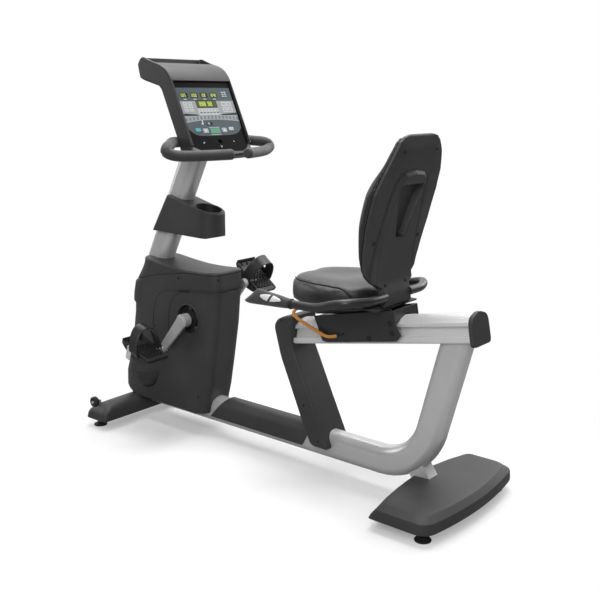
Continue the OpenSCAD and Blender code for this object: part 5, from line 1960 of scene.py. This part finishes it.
@dataclass
class SeatBars:
    """Side bars with foam grips that flare like a fish tail and carry two bright contact plates."""

    knots: Triples = (
        (492, 70, 694), (488, 150, 694), (452, 220, 696), (400, 234, 686), (330, 236, 668), (232, 236, 666))
    collar: Pairs = ((12.5, -5), (16.5, -5), (17.5, -3.5), (17.5, 3.5), (16.5, 5), (12.5, 5))
    radius: float = 14.2
    steps: int = 44

    def ring(self, t: Any, a: Any) -> Array:
        """Surface of the left-hand grip: t runs from the collar to the tail, a goes round, 0 outwards.

        The ring leans more and more, so its top ends at x 92 and its bottom runs on to x 32.
        """
        t, a = np.broadcast_arrays(arr(t), arr(a))
        v = (1 + np.sin(a)) / 2
        top_x = 232 - 140 * t
        low_x = 232 - 198 * t
        high = np.interp(t, [0, 0.06, 0.3, 0.6, 0.85, 0.97, 1.0], [680, 683, 688, 693, 698, 699, 694])
        low = np.interp(t, [0, 0.06, 0.3, 0.6, 0.85, 0.96, 1.0], [652, 649, 647, 645, 643, 645, 650])
        wide = np.interp(t, [0, 0.06, 0.35, 0.7, 0.9, 0.97, 1.0], [14.5, 16.5, 18.5, 17, 14, 10, 5])
        c = np.cos(a)
        x = low_x + (top_x - low_x) * v
        y = 237 + 3 * t + wide * np.sign(c) * np.abs(c) ** 0.85
        return np.stack([x, y, low + (high - low) * v], -1)

    def grip(self, side: int) -> Obj:
        """The foam grip as one closed grid."""
        t = np.concatenate([[0, 0.004], np.linspace(0.02, 1, self.steps)])
        a = np.arange(48) * 2 * math.pi / 48
        grid = self.ring(t[:, None], a[None]) * [1, side, 1]
        return wrapped(f"side_grip_{side_name(side)}", grid, GRIP_FOAM, 40)

    def plate(self, side: int, half: int) -> Array:
        """Half of the split oval: a fan in (t, a), raised off the foam by 0.9 mm at the middle."""
        th = np.linspace(-QUARTER, QUARTER, 21) if half > 0 else np.linspace(QUARTER, math.pi * 1.5, 21)
        r = np.linspace(0, 1, 9)[:, None]
        t0 = 0.45 + half * 0.032
        t = t0 + 0.27 * r * np.cos(th)
        a = 0.46 + 0.62 * r * np.sin(th) * (1 - 0.35 * np.abs(np.cos(th))) + 0 * t
        e = 1e-3
        p = self.ring(t, a)
        n = unit(np.cross(self.ring(t + e, a) - p, self.ring(t, a + e) - p))
        n *= np.where(n[..., 1:2] > 0, 1, -1)
        lift = np.where(r < 0.99, 1.0, -1.2) * np.ones_like(t)
        return (p + n * lift[..., None]) * [1, side, 1]

    def build(self) -> None:
        """Bars, grips, collars and plates on both sides."""
        for side in SIDES:
            tag = side_name(side)
            lead = side > 0
            path = even(smooth(self.knots, 10), 120) * [1, side, 1]
            bar = rod(f"seat_bar_{tag}", path, self.radius, BLACK_PAINT, 32, (0, 0.02, 1), 0.2)
            on_seat("steel_black", bar, *(("seat_handlebar",) if lead else ()))
            on_seat("grip_foam", self.grip(side), *(("seat_grips",) if lead else ()))
            collar = turned(f"grip_collar_{tag}", self.collar, (236, side * 236, 666), (1, 0, 0), BLACK_PLASTIC, 40)
            on_seat("grip_foam", collar)
            skin = Skin()
            for half in SIDES:
                skin.grid(self.plate(side, half))
            plates = skin.build(f"contact_plates_{tag}", [PLATE_METAL], 60)
            on_seat("bright_steel", plates, *(("pulse_plates",) if lead else ()))


@dataclass
class Carriage:
    """Side plates, pan, bolts and the bail lever."""

    extra: Pairs = ((430, 548), (512, 612))
    lever: Triples = (
        (306, 85, 537), (268, 85, 530), (220, 85, 542), (153, 85, 566), (126, 85, 579), (119, 83, 591), (122, 74, 601))

    def build(self) -> None:
        """Softened plates and pan, socket-head bolts, and the orange lever as one bent rod."""
        skinned("carriage_plates", "seat_carriage", "steel_black", BLACK_PAINT, 1.2)
        skinned("seat_frame", "seat_carriage", "steel_black", BLACK_PAINT, 1.2)
        half = smooth(self.lever, 8)
        path = np.vstack([half * [1, -1, 1], half[::-1]])
        path = even(path, 190)
        on("lever", "lever_paint", rod("lever_bail", path, 6.0, ORANGE_PAINT, 24, (0.3, 0.1, 1), 0.5), "adjust_lever")
        places = [(AT.on_rail(s, side * 71.0, 38.5), (0, side, 0)) for s in (172, 445) for side in SIDES]
        places += [(arr([x, side * 71.0, z]), (0, side, 0)) for x, z in self.extra for side in SIDES]
        on_seat("steel_black", screws("plate_bolts", places, 8.5, BLACK_AND_SHADE_PLASTIC), "carriage_bolts")


# --- stage and start ---


@dataclass
class Studio:
    """Pale floor, white surroundings, soft lights and the camera."""

    eye: Triple = (2.0289, -2.3720, 1.3271)
    forward: Triple = (-0.61846, 0.75251, -0.22636)
    lens: float = 52.855
    dark: float = 0.06
    bright: float = 1.15
    glow: float = 0.26
    fade: tuple[float, float] = (0.4, 1.4)

    def floor(self) -> None:
        """A large plain floor just under the feet, fading to white away from the bike where the camera sees it."""
        bpy.ops.mesh.primitive_plane_add(size=24, location=(0, 0, -0.0006))
        plane = bpy.context.object
        plane.name = "studio_floor"
        mat = bpy.data.materials.new("studio_floor")
        board = Board(mat)
        node = board.node
        seen = node("ShaderNodeLightPath", {}, output="Is Camera Ray")
        far = node("ShaderNodeVectorMath", {"operation": "LENGTH"}, [board.object_place()], "Value")
        tone = board.blend(seen, (0.30,) * 3, (0.93,) * 3)
        plain, white = node("ShaderNodeBsdfDiffuse", {}, [tone]), node("ShaderNodeEmission", {})
        shares = [far.between(*self.fade) * seen, plain, white]
        board.shows("ShaderNodeOutputMaterial", node("ShaderNodeMixShader", {}, shares).socket)
        plane.data.materials.append(mat)

    def world(self) -> None:
        """White to the camera; in mirrors white ahead of the camera and dark behind it; a weak glow to the rest."""
        world = bpy.data.worlds.new("studio")
        bpy.context.scene.world = world
        board = Board(world)
        node = board.node
        places = [node("ShaderNodeTexCoord", {}, output="Generated"), (*self.forward[:2], 0.35)]
        ahead = node("ShaderNodeVectorMath", {"operation": "DOT_PRODUCT"}, places, "Value")
        powers = (self.glow, ahead.between(0.38, 1.05, self.dark, self.bright), 1.0)
        glow, mirror, white = (node("ShaderNodeBackground", {}, [(1, 1, 1, 1), power]) for power in powers)
        glossy, seen = (node("ShaderNodeLightPath", {}, output=f"Is {ray} Ray") for ray in ("Glossy", "Camera"))
        lit = node("ShaderNodeMixShader", {}, [glossy, glow, mirror])
        board.shows("ShaderNodeOutputWorld", node("ShaderNodeMixShader", {}, [seen, lit, white]).socket)

    def light(self, name: str, at: Any, aim: Any, size: float, watts: float) -> None:
        """One square area light."""
        data = bpy.data.lights.new(name, "AREA")
        data.size, data.energy = size, watts
        lamp = bpy.data.objects.new(name, data)
        bpy.context.scene.collection.objects.link(lamp)
        lamp.location = at
        lamp.rotation_euler = (Vector(aim) - Vector(at)).to_track_quat("-Z", "Y").to_euler()

    def camera(self) -> None:
        """The camera, upright, looking along forward."""
        data = bpy.data.cameras.new("camera")
        data.lens, data.sensor_width, data.sensor_fit = self.lens, 36.0, "HORIZONTAL"
        data.dof.use_dof = False
        cam = bpy.data.objects.new("camera", data)
        bpy.context.scene.collection.objects.link(cam)
        cam.location = self.eye
        f = Vector(self.forward)
        right = f.cross(Vector((0, 0, 1))).normalized()
        up = right.cross(f)
        cam.matrix_world = Matrix.Translation(Vector(self.eye)) @ Matrix((right, up, -f)).transposed().to_4x4()
        bpy.context.scene.camera = cam

    def build(self) -> None:
        """Sets the whole stage."""
        self.floor()
        self.world()
        for name, at, high, size, watts in (
                ("key", (1.6, -3.0, 2.6), 0.6, 2.2, 74), ("top", (-0.2, 0.6, 4.0), 0.5, 3.4, 165),
                ("front", (-3.6, -1.4, 2.0), 0.6, 2.0, 32), ("back", (1.0, 3.6, 2.6), 0.7, 2.6, 60)):
            self.light(name, at, (0, 0, high), size, watts)
        self.camera()
        bpy.context.scene.view_settings.view_transform = "Standard"


ROLLER_GREY = Moulded("roller_grey", (0.32, 0.32, 0.32), 0.45)
DRESS = {"crank_axle": BRIGHT, "drive_pulley": BLACK_PLASTIC, "drive_belt": BLACK_RUBBER, "generator_rotor": DARK_STEEL,
         "drive_frame": BLACK_PAINT, "crank_bearings": BRIGHT, "pedal_spindles": BRIGHT, "front_rollers": ROLLER_GREY,
         "rear_rollers": ROLLER_GREY, "lock_shoe": BLACK_RUBBER, "cover_screws": BLACK_AND_SHADE_PLASTIC}


def dress_rest() -> None:
    """Gives every solid that still shows a finish."""
    for obj in bpy.context.scene.objects:
        if "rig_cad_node" in obj and not obj.hide_render and obj.type == "MESH":
            obj.data.materials.clear()
            obj.data.materials.append(DRESS.get(obj["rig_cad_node"], BLACK_PLASTIC).material())


def main() -> None:
    """Builds every sub-assembly, gives the remaining solids a finish, and sets the stage."""
    logging.basicConfig(level=logging.INFO, format="%(name)s %(message)s")
    for assembly in (FrameTubes, SeatRail, Shroud, CupHolder, Console, Handlebar, BaseCover, StrutCover, Stabilisers,
                     Feet, Cranks, Carriage, SeatBars, SeatCushion, BackRest):
        assembly().build()
    dress_rest()
    Studio().build()


if __name__ == "__main__":
    main()
